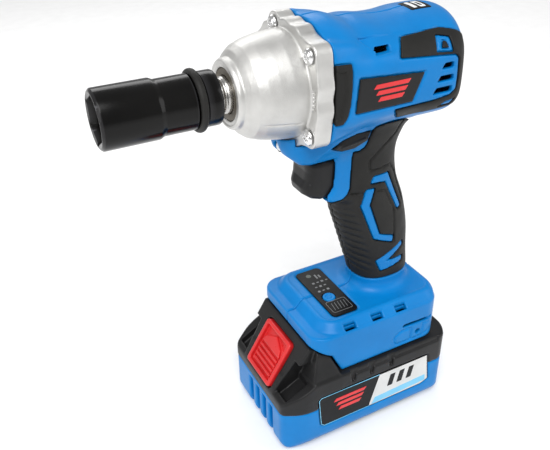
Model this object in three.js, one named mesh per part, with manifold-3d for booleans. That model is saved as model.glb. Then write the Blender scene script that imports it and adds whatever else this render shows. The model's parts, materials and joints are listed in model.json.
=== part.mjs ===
// Cordless impact wrench with a slide-on battery pack, as an assembly of separate pieces.
// Millimetres, +Z up, nose along -X, left side along -Y, origin at the centre of the battery's base.
import * as THREE from 'three';
import { mergeVertices } from 'three/addons/utils/BufferGeometryUtils.js';
import Module from 'manifold-3d';

const wasm = await Module();
wasm.setup();

// ---- driving dimensions ----
const AXIS_Z = 221.4;         // height of the drive axis above the base
const GAP = 0.3;              // clearance between touching pieces
const WALL = 2.5;             // moulded wall thickness
const BODY_FRONT = -29.5;     // front rim of the motor housing
const BODY_REAR = 55.5;       // rearmost face of the motor housing
const CASE_FRONT = -70.2;     // front face of the hammer case
const SOCKET_MOUTH = -132.1;  // front face of the socket
const SOCKET_REAR = -75.6;    // rear face of the socket
const SOCKET_R = 14;          // socket outside radius at the mouth
const HEX_FLATS = 19;         // socket size across flats
const DRIVE = 12.7;           // half-inch square drive
const JOURNAL_R = 9;          // anvil journal radius
const LUG_Y = 24.3;           // case screw position across
const LUG_Z = 19.5;           // case screw position above and below the axis
const SUN_TEETH = 9;
const PLANET_TEETH = 15;
const RING_TEETH = 39;
const MODULE = 0.9;           // gear module
const PLANET_ORBIT = MODULE * (SUN_TEETH + PLANET_TEETH) / 2;
const PACK_LENGTH = 120.6;
const PACK_WIDTH = 75;
const PACK_SPLIT = 30;        // height where the two battery cases meet
const PACK_TOP = 50.4;        // flat top of the battery beside the rails
const RAIL_TOP = 68;          // top of the battery's slide rail
const FOOT_BOTTOM = 51;
const DECK_Z = 84.5;          // top of the foot
const FOOT_FRONT = -39.4;
const FOOT_REAR = 51.5;
const FOOT_HALF = 34;         // half width of the foot
const DECK_HALF = 27.4;       // half width of the foot's flat deck
const GRIP_BOTTOM = 93;       // lower edge of the rubber grip
const GRIP_TOP = 200;
const RUBBER = 2.3;           // rubber thickness over the handle core
const TRIGGER_HALF = 11;      // half width of the trigger
const FACE_LOW = [-60.3, 38]; // lower edge of the battery's slanted face (x, z)
const FACE_HIGH = [-39.8, 71.2];
const CELL_R = 9.1;           // battery cell radius
const CELL_LENGTH = 65;
const CELL_PITCH = 18.7;

// ---- finishes ----
const finish = (color, roughness, metalness) =>
  new THREE.MeshStandardMaterial({ color, roughness, metalness });
const BLUE = finish(0x0a86dc, 0.38, 0);
const RUBBER_BLACK = finish(0x2b2b29, 0.72, 0);
const BLACK = finish(0x161617, 0.42, 0);
const BLACK_STEEL = finish(0x101012, 0.28, 0.85);
const CAST = finish(0xc9c8c3, 0.42, 0.9);
const STEEL = finish(0x9a9894, 0.3, 1);
const CHROME = finish(0xd9d9d9, 0.15, 1);
const SPRING_STEEL = finish(0x77777a, 0.35, 1);
const COPPER = finish(0xb06a3a, 0.45, 0.9);
const BOARD_GREEN = finish(0x1f5a34, 0.5, 0);
const RED = finish(0xcf1f1f, 0.3, 0);
const CLEAR = finish(0xdfe6ea, 0.15, 0);
const CELL_WRAP = finish(0x2f7f5b, 0.45, 0);
const LABEL = finish(0x8d8f90, 0.5, 0);
const BRONZE = finish(0x5f5a52, 0.5, 0.7);

// ---- geometry helpers ----
function toSolid(geometry) {
  const bare = geometry.index ? geometry.toNonIndexed() : geometry.clone();
  bare.deleteAttribute('normal');
  bare.deleteAttribute('uv');
  const merged = mergeVertices(bare, 1e-4);
  const index = merged.index.array;
  const position = merged.attributes.position.array;
  const triangles = [];
  let volume = 0;
  const a = new THREE.Vector3();
  const b = new THREE.Vector3();
  const c = new THREE.Vector3();
  for (let i = 0; i < index.length; i += 3) {
    const [p, q, r] = [index[i], index[i + 1], index[i + 2]];
    if (p === q || q === r || r === p) continue;
    triangles.push(p, q, r);
    a.fromArray(position, p * 3);
    b.fromArray(position, q * 3);
    c.fromArray(position, r * 3);
    volume += a.dot(b.cross(c));
  }
  if (volume < 0) triangles.reverse();
  return new wasm.Manifold(new wasm.Mesh({
    numProp: 3,
    vertProperties: new Float32Array(position),
    triVerts: new Uint32Array(triangles),
  }));
}

function toGeometry(solid) {
  const mesh = solid.getMesh();
  const geometry = new THREE.BufferGeometry();
  geometry.setAttribute('position', new THREE.BufferAttribute(new Float32Array(mesh.vertProperties), 3));
  geometry.setIndex(new THREE.BufferAttribute(new Uint32Array(mesh.triVerts), 1));
  geometry.computeVertexNormals();
  return geometry;
}

const join = (...solids) => solids.reduce((all, one) => all.add(one));
const cut = (body, ...tools) => tools.reduce((rest, tool) => rest.subtract(tool), body);

function block(x0, x1, y0, y1, z0, z1) {
  const geometry = new THREE.BoxGeometry(x1 - x0, y1 - y0, z1 - z0);
  return toSolid(geometry.translate((x0 + x1) / 2, (y0 + y1) / 2, (z0 + z1) / 2));
}

// A closed profile of [x, radius] points turned about the drive axis.
function turned(profile, segments = 32) {
  const points = [...profile, profile[0]].map(([x, r]) => new THREE.Vector2(r, x));
  const geometry = new THREE.LatheGeometry(points, segments);
  return toSolid(geometry.rotateZ(-Math.PI / 2).translate(0, 0, AXIS_Z));
}

const tubeX = (x0, x1, inner, outer, segments = 24) =>
  turned([[x0, inner], [x0, outer], [x1, outer], [x1, inner]], segments);

// A plain cylinder along an axis letter, from one coordinate to another.
function rod(axis, from, to, radius, centre, segments = 16, radiusEnd = radius) {
  const geometry = new THREE.CylinderGeometry(radiusEnd, radius, to - from, segments);
  if (axis === 'x') geometry.rotateZ(-Math.PI / 2);
  if (axis === 'z') geometry.rotateX(Math.PI / 2);
  const middle = (from + to) / 2;
  const place = { x: [middle, ...centre], y: [centre[0], middle, centre[1]], z: [...centre, middle] };
  return toSolid(geometry.translate(...place[axis]));
}

function extruded(shape, depth) {
  return new THREE.ExtrudeGeometry(shape, { depth, bevelEnabled: false, curveSegments: 3 });
}

const outline = (points) => new THREE.Shape(points.map(([u, v]) => new THREE.Vector2(u, v)));

// Side outline in (x, z) carried across from y0 to y1.
function across(points, y0, y1) {
  const geometry = extruded(Array.isArray(points) ? outline(points) : points, y1 - y0);
  return toSolid(geometry.rotateX(Math.PI / 2).translate(0, y1, 0));
}

// Plan outline in (x, y) raised from z0 to z1.
function raised(points, z0, z1) {
  const geometry = extruded(Array.isArray(points) ? outline(points) : points, z1 - z0);
  return toSolid(geometry.translate(0, 0, z0));
}

// End outline in (y, z) carried along from x0 to x1.
function along(points, x0, x1) {
  const geometry = extruded(Array.isArray(points) ? outline(points) : points, x1 - x0);
  geometry.rotateX(Math.PI / 2).rotateZ(Math.PI / 2);
  return toSolid(geometry.translate(x0, 0, 0));
}

function roundedRectangle(x0, x1, y0, y1, radius) {
  const shape = new THREE.Shape();
  shape.absarc(x1 - radius, y1 - radius, radius, 0, Math.PI / 2);
  shape.absarc(x0 + radius, y1 - radius, radius, Math.PI / 2, Math.PI);
  shape.absarc(x0 + radius, y0 + radius, radius, Math.PI, Math.PI * 1.5);
  shape.absarc(x1 - radius, y0 + radius, radius, Math.PI * 1.5, Math.PI * 2);
  return shape;
}

// A closed tube through stations, each giving its place and two half sizes, made by shaping a
// cylinder's rings. place(station, u, v) turns a station and a point of its oval into a position.
function lofted(stations, segments, power, place) {
  const geometry = new THREE.CylinderGeometry(1, 1, 1, segments, stations.length - 1);
  const position = geometry.attributes.position;
  for (let i = 0; i < position.count; i++) {
    const level = Math.round((position.getY(i) + 0.5) * (stations.length - 1));
    const radius = Math.hypot(position.getX(i), position.getZ(i));
    const angle = Math.atan2(position.getZ(i), position.getX(i));
    const oval = (value) => Math.sign(value) * Math.abs(value) ** (2 / power) * Math.min(1, radius);
    const point = place(stations[level], oval(Math.cos(angle)), oval(Math.sin(angle)));
    position.setXYZ(i, ...point);
  }
  return toSolid(geometry);
}

// Motor housing barrel: [x, half width, half height].
const BARREL = [
  [BODY_FRONT, 31.5, 31.2], [-18.5, 32, 31.2], [-11, 32, 28.7], [9, 32, 27.2], [21, 32, 27.3],
  [33, 31.8, 28.3], [44, 29.8, 27.6], [51.5, 23.5, 22.5], [BODY_REAR, 13, 13],
];
function barrel(grow = 0) {
  const stations = BARREL.map(([x, w, h], i) => [x + (i === BARREL.length - 1 ? grow : 0), w + grow, h + grow]);
  return lofted(stations, 26, 2.25, ([x, w, h], u, v) => [x, u * w, AXIS_Z + v * h]);
}

// Handle: [z, centre x, half length, half width] over the rubber.
const HANDLE = [
  [80, 24.5, 18.6, 16], [GRIP_BOTTOM, 24.5, 18.4, 15.8], [108, 21.6, 20, 15.6], [125, 18.1, 21.8, 16.5],
  [144, 12.9, 22.4, 17], [162, 8.2, 20.4, 16.6], [180, 7.1, 19.8, 17.4], [GRIP_TOP, 10, 23, 23],
];
function handle(grow = 0) {
  return lofted(HANDLE, 20, 2.3, ([z, x, a, b], u, v) => [x + u * (a + grow), v * (b + grow), z]);
}

// ---- drive train, all turned about the drive axis ----
function impactSocket() {
  const neckR = SOCKET_R - 1;
  const body = turned([
    [SOCKET_MOUTH, 0], [SOCKET_MOUTH, SOCKET_R - 0.8], [SOCKET_MOUTH + 0.8, SOCKET_R],
    [-105.3, SOCKET_R], [-103.3, neckR], [-88, neckR], [-88, 11.9], [-83.2, 11.9], [-83.2, neckR],
    [SOCKET_REAR, neckR], [SOCKET_REAR, 0],
  ]);
  const hexR = HEX_FLATS / Math.sqrt(3);
  const hex = rod('x', SOCKET_MOUTH - 1, -104, hexR, [0, AXIS_Z], 6);
  const half = DRIVE / 2 + GAP;
  return cut(body, hex, block(-105, SOCKET_REAR + 1, -half, half, AXIS_Z - half, AXIS_Z + half));
}

const socketRing = () => turned([[-87.4, 12.2], [-87.4, 14], [-86.6, 14.9], [-84.6, 14.9], [-83.8, 14],
  [-83.8, 12.2]], 24);

function anvil() {
  const half = DRIVE / 2;
  const drive = block(-100, -73, -half, half, AXIS_Z - half, AXIS_Z + half);
  const journal = rod('x', -74.6, -52, JOURNAL_R, [0, AXIS_Z], 28);
  const disc = rod('x', -52.2, -45, 13, [0, AXIS_Z], 24);
  const jaw = block(-52.2, -45, -5, 5, AXIS_Z - 19, AXIS_Z + 19);
  return cut(join(drive, journal, disc, jaw), rod('x', -56, -44, 4.35, [0, AXIS_Z], 16));
}

const BALL_X = -33;
const BALL_ORBIT = 7.9;
const ballAt = (side, radius, x = BALL_X) =>
  toSolid(new THREE.SphereGeometry(radius, 10, 6).translate(x, 0, AXIS_Z + side * BALL_ORBIT));

function hammer() {
  const ring = turned([[-43.5, 8.2], [-43.5, 20.5], [-22, 20.5], [-22, 17.5], [-34.2, 17.5], [-34.2, 10.3],
    [-28, 10.3], [-28, 8.2]], 24);
  const slab = block(-51.5, -43, -19.5, 19.5, AXIS_Z - 6, AXIS_Z + 6);
  const jaws = cut(slab, rod('x', -53, -42, 13.6, [0, AXIS_Z], 24));
  const grooves = [-1, 1].map((side) => join(ballAt(side, 2.75),
    rod('x', -45, BALL_X, 2.75, [0, AXIS_Z + side * BALL_ORBIT], 10)));
  return cut(join(ring, jaws), ...grooves);
}

function camShaft() {
  const shaft = turned([[-54, 0], [-54, 4], [-45, 4], [-45, 7.8], [-12, 7.8], [-12, 17.4], [-3, 17.4],
    [-3, 0]], 20);
  const pins = [0, 1, 2].map((i) => {
    const angle = i * Math.PI * 2 / 3;
    const centre = [PLANET_ORBIT * Math.cos(angle), AXIS_Z + PLANET_ORBIT * Math.sin(angle)];
    return rod('x', -4, 6.4, 2.4, centre, 14);
  });
  return cut(join(shaft, ...pins), ballAt(1, 2.7), ballAt(-1, 2.7));
}

class Helix extends THREE.Curve {
  constructor(radius, from, to, turns) {
    super();
    Object.assign(this, { radius, from, to, turns });
  }

  getPoint(t, target = new THREE.Vector3()) {
    const angle = t * this.turns * Math.PI * 2;
    const x = this.from + t * (this.to - this.from);
    return target.set(x, this.radius * Math.cos(angle), this.radius * Math.sin(angle));
  }
}

// A round wire coiled along X about its own centre line.
function coilSpring(radius, wire, from, to, turns, perTurn = 10) {
  const section = new THREE.Shape().absarc(0, 0, wire, 0, Math.PI * 2);
  const path = new Helix(radius, from + wire, to - wire, turns);
  return toSolid(new THREE.ExtrudeGeometry(section, {
    steps: Math.round(turns * perTurn), extrudePath: path, curveSegments: 2,
  }));
}

// One gear outline: teeth of trapezoid shape between root and tip, the first one centred at phase.
function gearShape(teeth, root, tip, share, phase) {
  const points = [];
  const pitch = Math.PI * 2 / teeth;
  for (let i = 0; i < teeth; i++) {
    const centre = phase + i * pitch;
    const wide = pitch * share / 2;
    const narrow = wide * 0.5;
    const corners = [[root, centre - wide], [tip, centre - narrow], [tip, centre + narrow], [root, centre + wide]];
    corners.forEach(([r, a]) => points.push([r * Math.cos(a), r * Math.sin(a)]));
  }
  return outline(points);
}

const onAxis = (solid, y = 0, z = 0) => solid.translate([0, y, AXIS_Z + z]);

function planetGear(index) {
  const angle = index * Math.PI * 2 / 3;
  const pitchR = MODULE * PLANET_TEETH / 2;
  const gear = along(gearShape(PLANET_TEETH, pitchR - 1, pitchR + 0.72, 0.6, angle), -2, 6);
  const centre = [PLANET_ORBIT * Math.cos(angle), PLANET_ORBIT * Math.sin(angle)];
  return cut(onAxis(gear, ...centre), rod('x', -3, 7, 2.7, [centre[0], AXIS_Z + centre[1]], 14));
}

function ringGear() {
  const pitchR = MODULE * RING_TEETH / 2;
  const hollow = gearShape(RING_TEETH, pitchR - 0.7, pitchR + 1.1, 0.68, 0);
  const blank = rod('x', -2.4, 7.6, 21.8, [0, AXIS_Z], 32);
  return cut(blank, onAxis(along(hollow, -4, 9)));
}

function motorShaft() {
  const pitchR = MODULE * SUN_TEETH / 2;
  const pinion = onAxis(along(gearShape(SUN_TEETH, pitchR - 0.95, pitchR + 0.72, 0.6, 0), -1.6, 7));
  return join(pinion, rod('x', 6.5, 51.6, 2.5, [0, AXIS_Z], 16));
}

function motorStator() {
  const core = tubeX(15, 39, 20.4, 24, 36);
  const teeth = [0, 1, 2, 3, 4, 5].map((i) => {
    const stem = block(15, 39, 14.5, 21, -3, 3);
    const shoe = block(15, 39, 13.6, 15, -5, 5);
    return onAxis(join(stem, shoe).rotate([i * 60, 0, 0]));
  });
  return join(core, ...teeth);
}

function motorFan() {
  const disc = turned([[41, 2.8], [41, 19.5], [42.2, 19.5], [42.2, 5], [46.4, 5], [46.4, 2.8]], 24);
  const blades = Array.from({ length: 9 }, (_, i) =>
    onAxis(block(41.5, 46, 4.5, 19, -0.5, 0.5).rotate([i * 40, 0, 0])));
  return join(disc, ...blades);
}

const bearing = (x0, x1, inner, outer) => turned([[x0, inner], [x0, inner + 1.4], [x0 + 0.5, inner + 1.8],
  [x0 + 0.5, outer - 1.8], [x0, outer - 1.4], [x0, outer], [x1, outer], [x1, inner]], 16);

const gearboxPlate = () => cut(rod('x', 8.2, 11, 23.6, [0, AXIS_Z], 32), rod('x', 7, 12, 11.4, [0, AXIS_Z], 24));

// ---- hammer case ----
const TOP_LUG = [10.2, 26.7]; // the far upper screw sits nearer the top than its near-side partner
const LUGS = [[-LUG_Y, LUG_Z], [-LUG_Y, -LUG_Z], TOP_LUG, [LUG_Y, -LUG_Z]];

// The case's flange follows the housing's front rim.
const flangeRing = (x0, x1, grow = 0) => lofted([[x0, 31.2 + grow, 30.6 + grow], [x1, 31.4 + grow, 30.8 + grow]],
  26, 2.25, ([x, w, h], u, v) => [x, u * w, AXIS_Z + v * h]);

function hammerCase() {
  const shell = turned([
    [CASE_FRONT, 12.7], [CASE_FRONT, 16.2], [-69.5, 16.8], [-67, 17.1], [-65.8, 19.4], [-62.6, 22.2],
    [-60, 23.2], [-54, 24.9], [-39, 26.9], [BODY_FRONT - GAP, 27], [BODY_FRONT - GAP, 22.7], [-52, 22.6],
    [-56.5, 19.5], [-58.2, 12.7],
  ], 28);
  const lugs = LUGS.map(([y, z]) => rod('x', -38.5, BODY_FRONT - GAP, 5.6, [y, AXIS_Z + z], 12));
  const bores = LUGS.map(([y, z]) => rod('x', -50, -29, 2.1, [y, AXIS_Z + z], 8));
  const seats = LUGS.map(([y, z]) => rod('x', -47, -38.5, 4.4, [y, AXIS_Z + z], 12));
  const flange = flangeRing(-38.5, BODY_FRONT - GAP);
  return cut(join(shell, flange, ...lugs), ...bores, ...seats, rod('x', -52, -29, 22.6, [0, AXIS_Z], 28));
}

function caseScrew([y, z]) {
  const centre = [y, AXIS_Z + z];
  const head = rod('x', -41.4, -38.5 - GAP, 3.9, centre, 10);
  const shank = rod('x', -39, -22, 1.8, centre, 8);
  const cross = [block(-42, -40, y - 0.5, y + 0.5, centre[1] - 2.2, centre[1] + 2.2),
    block(-42, -40, y - 2.2, y + 2.2, centre[1] - 0.5, centre[1] + 0.5)];
  return cut(join(head, shank), ...cross);
}

// ---- side panels, bonded over the barrel's skin ----
const PANELS = {
  front_pad: [[-29.2, 238], [-21.5, 237.2], [-20.5, 225], [-20.9, 217], [-22.4, 211.5], [-25, 207.8],
    [-29.2, 208]],
  badge_plate: [[-17.3, 229.5], [20, 226.8], [16, 215], [-18.5, 211.8]],
  rear_bumper: [[3.3, 246], [27, 246], [38, 243.4], [50.5, 240], [50.5, 203], [33, 203.6], [5, 205.6],
    [5, 208.8], [36, 209.5], [41, 212], [42.4, 222], [41, 231.5], [38, 234.6], [4.4, 235.1]],
};
const PANEL_THICKNESS = 1;

function spread(points, amount) {
  const middle = points.reduce(([x, z], [u, v]) => [x + u / points.length, z + v / points.length], [0, 0]);
  return points.map(([x, z]) => {
    const length = Math.hypot(x - middle[0], z - middle[1]);
    return [x + (x - middle[0]) / length * amount, z + (z - middle[1]) / length * amount];
  });
}

const sideSlab = (points, side) => across(points, side < 0 ? -40 : 14, side < 0 ? -14 : 40);

// ---- motor housing, handle and foot ----
const NOSE = [[-4, 202], [-33, 202], [-42.5, 195], [-42.7, 191.5], [-40.4, 186.4], [-36, 181.8], [-31, 180.6],
  [-17, 180.8], [-16.8, 174], [-17.2, 163.4], [-20, 159.2], [-19.4, 155.8], [-16.6, 153.4], [-4, 153.4]];
const SCREWS = [
  { x: 21, z: 187, head: 8 }, { x: 25, z: 147, head: 8 }, { x: 12, z: 105, head: 8 },
  { x: 44.5, z: 73, head: 22 }, { x: -31.5, z: 73.3, head: 22 },
];
const SCREW_TIP = -8;
const VENTS = [[32.1, 38.3, 227.2], [29.9, 39.3, 221], [28.3, 38.4, 215]];
const FOOT_SIDE = [[FOOT_FRONT, 71.8], [-27, 64.8], [-20.2, FOOT_BOTTOM], [FOOT_REAR, FOOT_BOTTOM],
  [FOOT_REAR, 70], [50, 80], [46.5, DECK_Z], [-33, DECK_Z], [FOOT_FRONT, 79]];

function foot() {
  const plan = roundedRectangle(FOOT_FRONT, FOOT_REAR, -FOOT_HALF, FOOT_HALF, 11);
  const ends = along([[-FOOT_HALF, 50], [FOOT_HALF, 50], [FOOT_HALF, 78], [31, 81.5], [DECK_HALF, DECK_Z],
    [-DECK_HALF, DECK_Z], [-31, 81.5], [-FOOT_HALF, 78]], -45, 60);
  return raised(plan, 50, 90).intersect(across(FOOT_SIDE, -40, 40)).intersect(ends);
}

function footCavity() {
  const plan = roundedRectangle(FOOT_FRONT + WALL, FOOT_REAR - WALL, -FOOT_HALF + WALL, FOOT_HALF - WALL, 9);
  return raised(plan, 40, DECK_Z - WALL).intersect(along([[-31.5, 40], [31.5, 40], [31.5, 77.5],
    [27, DECK_Z - WALL], [-27, DECK_Z - WALL], [-31.5, 77.5]], -45, 60));
}

function housing() {
  const nose = across(NOSE, -14.5, 14.5);
  const shoulder = along([[-20.5, 205], [-20.5, 191], [-15, 183], [15, 183], [20.5, 191], [20.5, 205]], -30, 2);
  const bosses = LUGS.map(([y, z]) => rod('x', BODY_FRONT, -17, 5.4, [y, AXIS_Z + z], 10, 3));
  const flare = lofted([[DECK_Z - 2, 24.5, 25, 21], [87.5, 24.5, 21, 18], [GRIP_BOTTOM - GAP, 24.5, 18.2, 15.7]],
    20, 2.3, ([z, x, a, b], u, v) => [x + u * a, v * b, z]);
  const outside = join(barrel(), nose, shoulder, ...bosses, handle(-RUBBER), foot(), flare);
  const inside = [
    lofted([[BODY_FRONT - 1, 28.5, 24.9], [44, 27, 24.9], [51.8, 20, 19.5]], 20, 2.1,
      ([x, w, h], u, v) => [x, u * w, AXIS_Z + v * h]),
    lofted([[70, 24.5, 13.6, 11.2], [108, 21.6, 15.2, 11], [162, 8.2, 15.6, 12], [199, 9.8, 17.6, 15]], 16, 2.3,
      ([z, x, a, b], u, v) => [x + u * a, v * b, z]),
    footCavity(),
    block(-38.5, 1, -11.9, 11.9, 183.4, 199),
    block(-24, 6.4, -11.5, 11.5, 155.4, 180),
  ];
  const screwBosses = SCREWS.map(({ x, z, head }) =>
    rod('y', head > 20 ? -FOOT_HALF : SCREW_TIP - 3, head + 12, 4.2, [x, z], 10).intersect(outside));
  const rails = [-1, 1].map((side) => block(-14, 46, Math.min(side * 21.4, side * 32),
    Math.max(side * 21.4, side * 32), 53, 59));
  const rearSeat = cut(tubeX(47.2, 53, 8.3, 11, 24), block(40, 47.2, -20, 20, 200, 240));
  let body = cut(outside, ...inside);
  body = join(body, ...screwBosses, ...rails, rearSeat);
  const lugBores = LUGS.map(([y, z]) => rod('x', -40, -21.5, 2.1, [y, AXIS_Z + z], 8));
  const screwBores = SCREWS.flatMap(({ x, z, head }) => [
    rod('y', SCREW_TIP - 0.5, 60, 1.7, [x, z], 8), rod('y', head - 2.6, 60, 3.5, [x, z], 10)]);
  const vents = VENTS.map(([x0, x1, z]) => block(x0, x1, -40, 40, z - 1.2, z + 1.2));
  const caseRoom = join(rod('x', -80, BODY_FRONT, 27.3, [0, AXIS_Z], 24), flangeRing(-39, BODY_FRONT, GAP));
  const lugRoom = LUGS.map(([y, z]) => rod('x', -47, BODY_FRONT, 5.9, [y, AXIS_Z + z], 12));
  return cut(body, caseRoom, ...lugRoom, ...lugBores, ...screwBores, ...vents,
    block(-9.4, -0.6, -40, -20, 239.4, 241.2),
    block(-22, -4.5, -30, 30, 187.6, 194.6),
    rod('x', -50, -30, 3.2, [0, 188.5], 14),
    block(-20.8, -2.7, -24, 24, DECK_Z - 1.2, DECK_Z + 1),
    rod('z', 70, 90, 4.3, [-13.2, -6.2], 16));
}

function gripHalf(side) {
  const reach = across([[-22, 153.1], [-3.6, 153.1], [-3.6, 201], [-22, 201]], -30, 30);
  const sleeve = handle().intersect(block(-40, 60, -40, 40, GRIP_BOTTOM, GRIP_TOP - 1));
  const bores = SCREWS.flatMap(({ x, z, head }) => [
    rod('y', SCREW_TIP - 0.5, 60, 1.8, [x, z], 8), rod('y', head - 2.6, 60, 3.6, [x, z], 10)]);
  const core = handle(-RUBBER + GAP);
  const shoulder = block(-31, 2.4, -21, 21, 182.6, 206);
  const whole = cut(sleeve, core, reach, shoulder, barrel(GAP), ...bores);
  return halfOf(whole, side);
}

const halfOf = (solid, side) => solid.intersect(side < 0 ? block(-200, 200, -80, -0.15, -10, 300)
  : block(-200, 200, 0.15, 80, -10, 300));

const panel = (name, side) => cut(sideSlab(PANELS[name], side).intersect(barrel(GAP + PANEL_THICKNESS)),
  barrel(GAP), ...LUGS.map(([y, z]) => rod('x', -45, -10, 5.7, [y, AXIS_Z + z], 10)));

// ---- controls ----
function trigger() {
  const face = outline([[-31.2, 179.4], [-30.2, 173], [-30.7, 168.4], [-32.6, 164.2], [-31.6, 160.4],
    [-27.6, 157.4], [-22.5, 156], [-18, 156.6], [-15, 158.5], [-12.6, 158.5], [-12.6, 179.4]]);
  const slider = TRIGGER_HALF - 0.8;
  return join(across(face, -TRIGGER_HALF, TRIGGER_HALF), block(-14, -7.6, -slider, slider, 158.6, 178));
}

const switchBody = () => block(6.8, 19.2, -8.6, 8.6, 160, 181);

const directionLever = () => join(block(-17.5, -9, -9, 9, 189, 193.2), block(-16.5, -10, -21.6, 21.6, 189, 193.2));

function ledLens() {
  return rod('x', -43.4, -38.8, 2.9, [0, 188.5], 14);
}

const panelOverlay = () => cut(block(-20.5, -3, -23.7, 23.7, DECK_Z - 0.9, DECK_Z),
  rod('z', 80, 90, 4.2, [-13.2, -6.2], 16));

const modeButton = () => join(rod('z', 79.6, DECK_Z + 0.7, 3.9, [-13.2, -6.2], 18));

const controlBoard = () => join(block(-24, 4, -25, 25, 76, 77.6), block(-12, 0, 8, 20, 77, 80),
  block(-15.6, -10.8, -8.6, -3.8, 77, 78.2));

function terminalBlock() {
  const blades = [-12, 0, 12].map((y) => block(24, 39, y - 0.4, y + 0.4, 60, 70));
  return join(block(18, 39.5, -18, 18, 69.2, 76), ...blades);
}

function housingScrew({ x, z, head }) {
  const cap = rod('y', head - 2.3, head, 3.1, [x, z], 10);
  const shank = rod('y', SCREW_TIP, head - 2, 1.4, [x, z], 8);
  return cut(join(cap, shank), rod('y', head - 1.4, head + 1, 1.5, [x, z], 6));
}

// ---- battery pack ----
const PACK_HALF = PACK_WIDTH / 2;
const PACK_END = PACK_LENGTH / 2;

function packOutline(inset = 0) {
  const end = PACK_END - inset;
  const half = PACK_HALF - inset;
  return [[-end, -half + 6.3], [-end + 12.2, -half], [end - 6, -half], [end, -half + 9], [end, half - 9],
    [end - 6, half], [-end + 12.2, half], [-end, half - 6.3]];
}

const LABEL_SHAPE = [[-34.1, 16.5], [-38, 36.8], [-36, 39.1], [43, 38.6], [46, 16], [39.7, 13.5], [-31, 13.5]];

const labelPocket = (side) => across(LABEL_SHAPE, side < 0 ? -40 : PACK_HALF - 0.9, side < 0 ? 0.9 - PACK_HALF : 40)
  .intersect(block(-60, 60, -41, 41, 0, 60));

const packLabel = (side) => across(spread(LABEL_SHAPE, -0.35), side < 0 ? -PACK_HALF : PACK_HALF - 0.6,
  side < 0 ? 0.6 - PACK_HALF : PACK_HALF);

function batteryLowerCase() {
  const shell = raised(packOutline(), 0, PACK_SPLIT - GAP);
  const edge = along([[-PACK_HALF, 5], [-PACK_HALF + 5, 0], [PACK_HALF - 5, 0], [PACK_HALF, 5],
    [PACK_HALF, 40], [-PACK_HALF, 40]], -70, 70);
  const grooves = [-15, -6, 3, 12].map((y) => block(-62, -PACK_END + 1.4, y - 1.8, y + 1.8, -1, 24));
  const hollow = raised(packOutline(WALL), WALL, 60);
  return cut(shell.intersect(edge), hollow, ...grooves, labelPocket(-1), labelPocket(1));
}

const faceSlope = Math.atan2(FACE_HIGH[1] - FACE_LOW[1], FACE_HIGH[0] - FACE_LOW[0]);
const BUTTON_END = 32.4;         // how far the latch button reaches up the slanted face

// A block on the battery's slanted face: s runs up the slope, d goes into the pack.
function onFace(s0, s1, y0, y1, d0, d1) {
  const flat = new THREE.BoxGeometry(s1 - s0, y1 - y0, d1 - d0);
  flat.translate((s0 + s1) / 2, (y0 + y1) / 2, -(d0 + d1) / 2);
  return toSolid(flat.rotateY(-faceSlope).translate(FACE_LOW[0], 0, FACE_LOW[1]));
}

function batteryUpperCase() {
  const low = raised(packOutline(), PACK_SPLIT, PACK_TOP);
  const wedgeSide = [FACE_LOW, FACE_HIGH, [-27.5, 64.2], [-20.8, PACK_TOP], [-20.8, PACK_SPLIT],
    [-PACK_END, PACK_SPLIT]];
  const wedge = across(wedgeSide, -40, 40).intersect(raised(packOutline(), PACK_SPLIT, 80))
    .intersect(along([[-PACK_HALF, 20], [PACK_HALF, 20], [PACK_HALF, 46], [31, FACE_HIGH[1] + 1],
      [-31, FACE_HIGH[1] + 1], [-PACK_HALF, 46]], -70, 0));
  const neck = block(-26, 47, -20.8, 20.8, PACK_TOP - 2, 62);
  const rail = block(-26, 47, -24, 24, 59.6, RAIL_TOP).intersect(across([[-20, 40], [47, 40], [47, 80],
    [-34, 80], [-27, 60]], -40, 40));
  const cornerTrim = block(-70, -20, -80, 80, PACK_SPLIT, 90).subtract(across([[-60.3, 30], FACE_LOW, FACE_HIGH,
    [-20, 90], [0, 90], [0, 20], [-60.3, 20]], -90, 90));
  const hollow = raised(packOutline(WALL), 20, PACK_TOP - WALL)
    .intersect(across([[-47, 20], [-47, 31], [-40.5, 41], [-22, 41], [-22, PACK_TOP - WALL],
      [70, PACK_TOP - WALL], [70, 20]], -40, 40));
  const railHollow = block(-15, 43, -17.5, 17.5, 40, RAIL_TOP - WALL);
  const slots = [-12, 0, 12].map((y) => block(19, 60, y - 1.3, y + 1.3, 58, 80));
  const well = onFace(0.3, BUTTON_END + 0.7, -16, 16, -10, 9);
  const recess = [-1, 1].flatMap((side) => [
    across([[-61, 38], [-40.5, 49.9], [-40.5, 61], [-61, 61]], Math.min(side * 21, side * 40),
      Math.max(side * 21, side * 40)),
    across([[-58.5, 34.4], [-42.5, 43.7], [-42.5, 60], [-58.5, 60]], Math.min(side * 21, side * 34),
      Math.max(side * 21, side * 34))]);
  return cut(join(low, wedge, neck, rail), cornerTrim, hollow, railHollow, ...slots, well, ...recess,
    labelPocket(-1), labelPocket(1));
}

const releaseButton = () => onFace(1, BUTTON_END, -14.8, 14.8, -1.4, 4.6);

function releaseSpring() {
  const spring = coilSpring(3.4, 0.5, 0, 3.6, 2.5, 8);
  const middle = (1 + BUTTON_END) / 2;
  return spring.rotate([0, 90, 0]).translate([middle, 0, -4.95])
    .rotate([0, -faceSlope * 180 / Math.PI, 0]).translate([FACE_LOW[0], 0, FACE_LOW[1]]);
}

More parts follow.
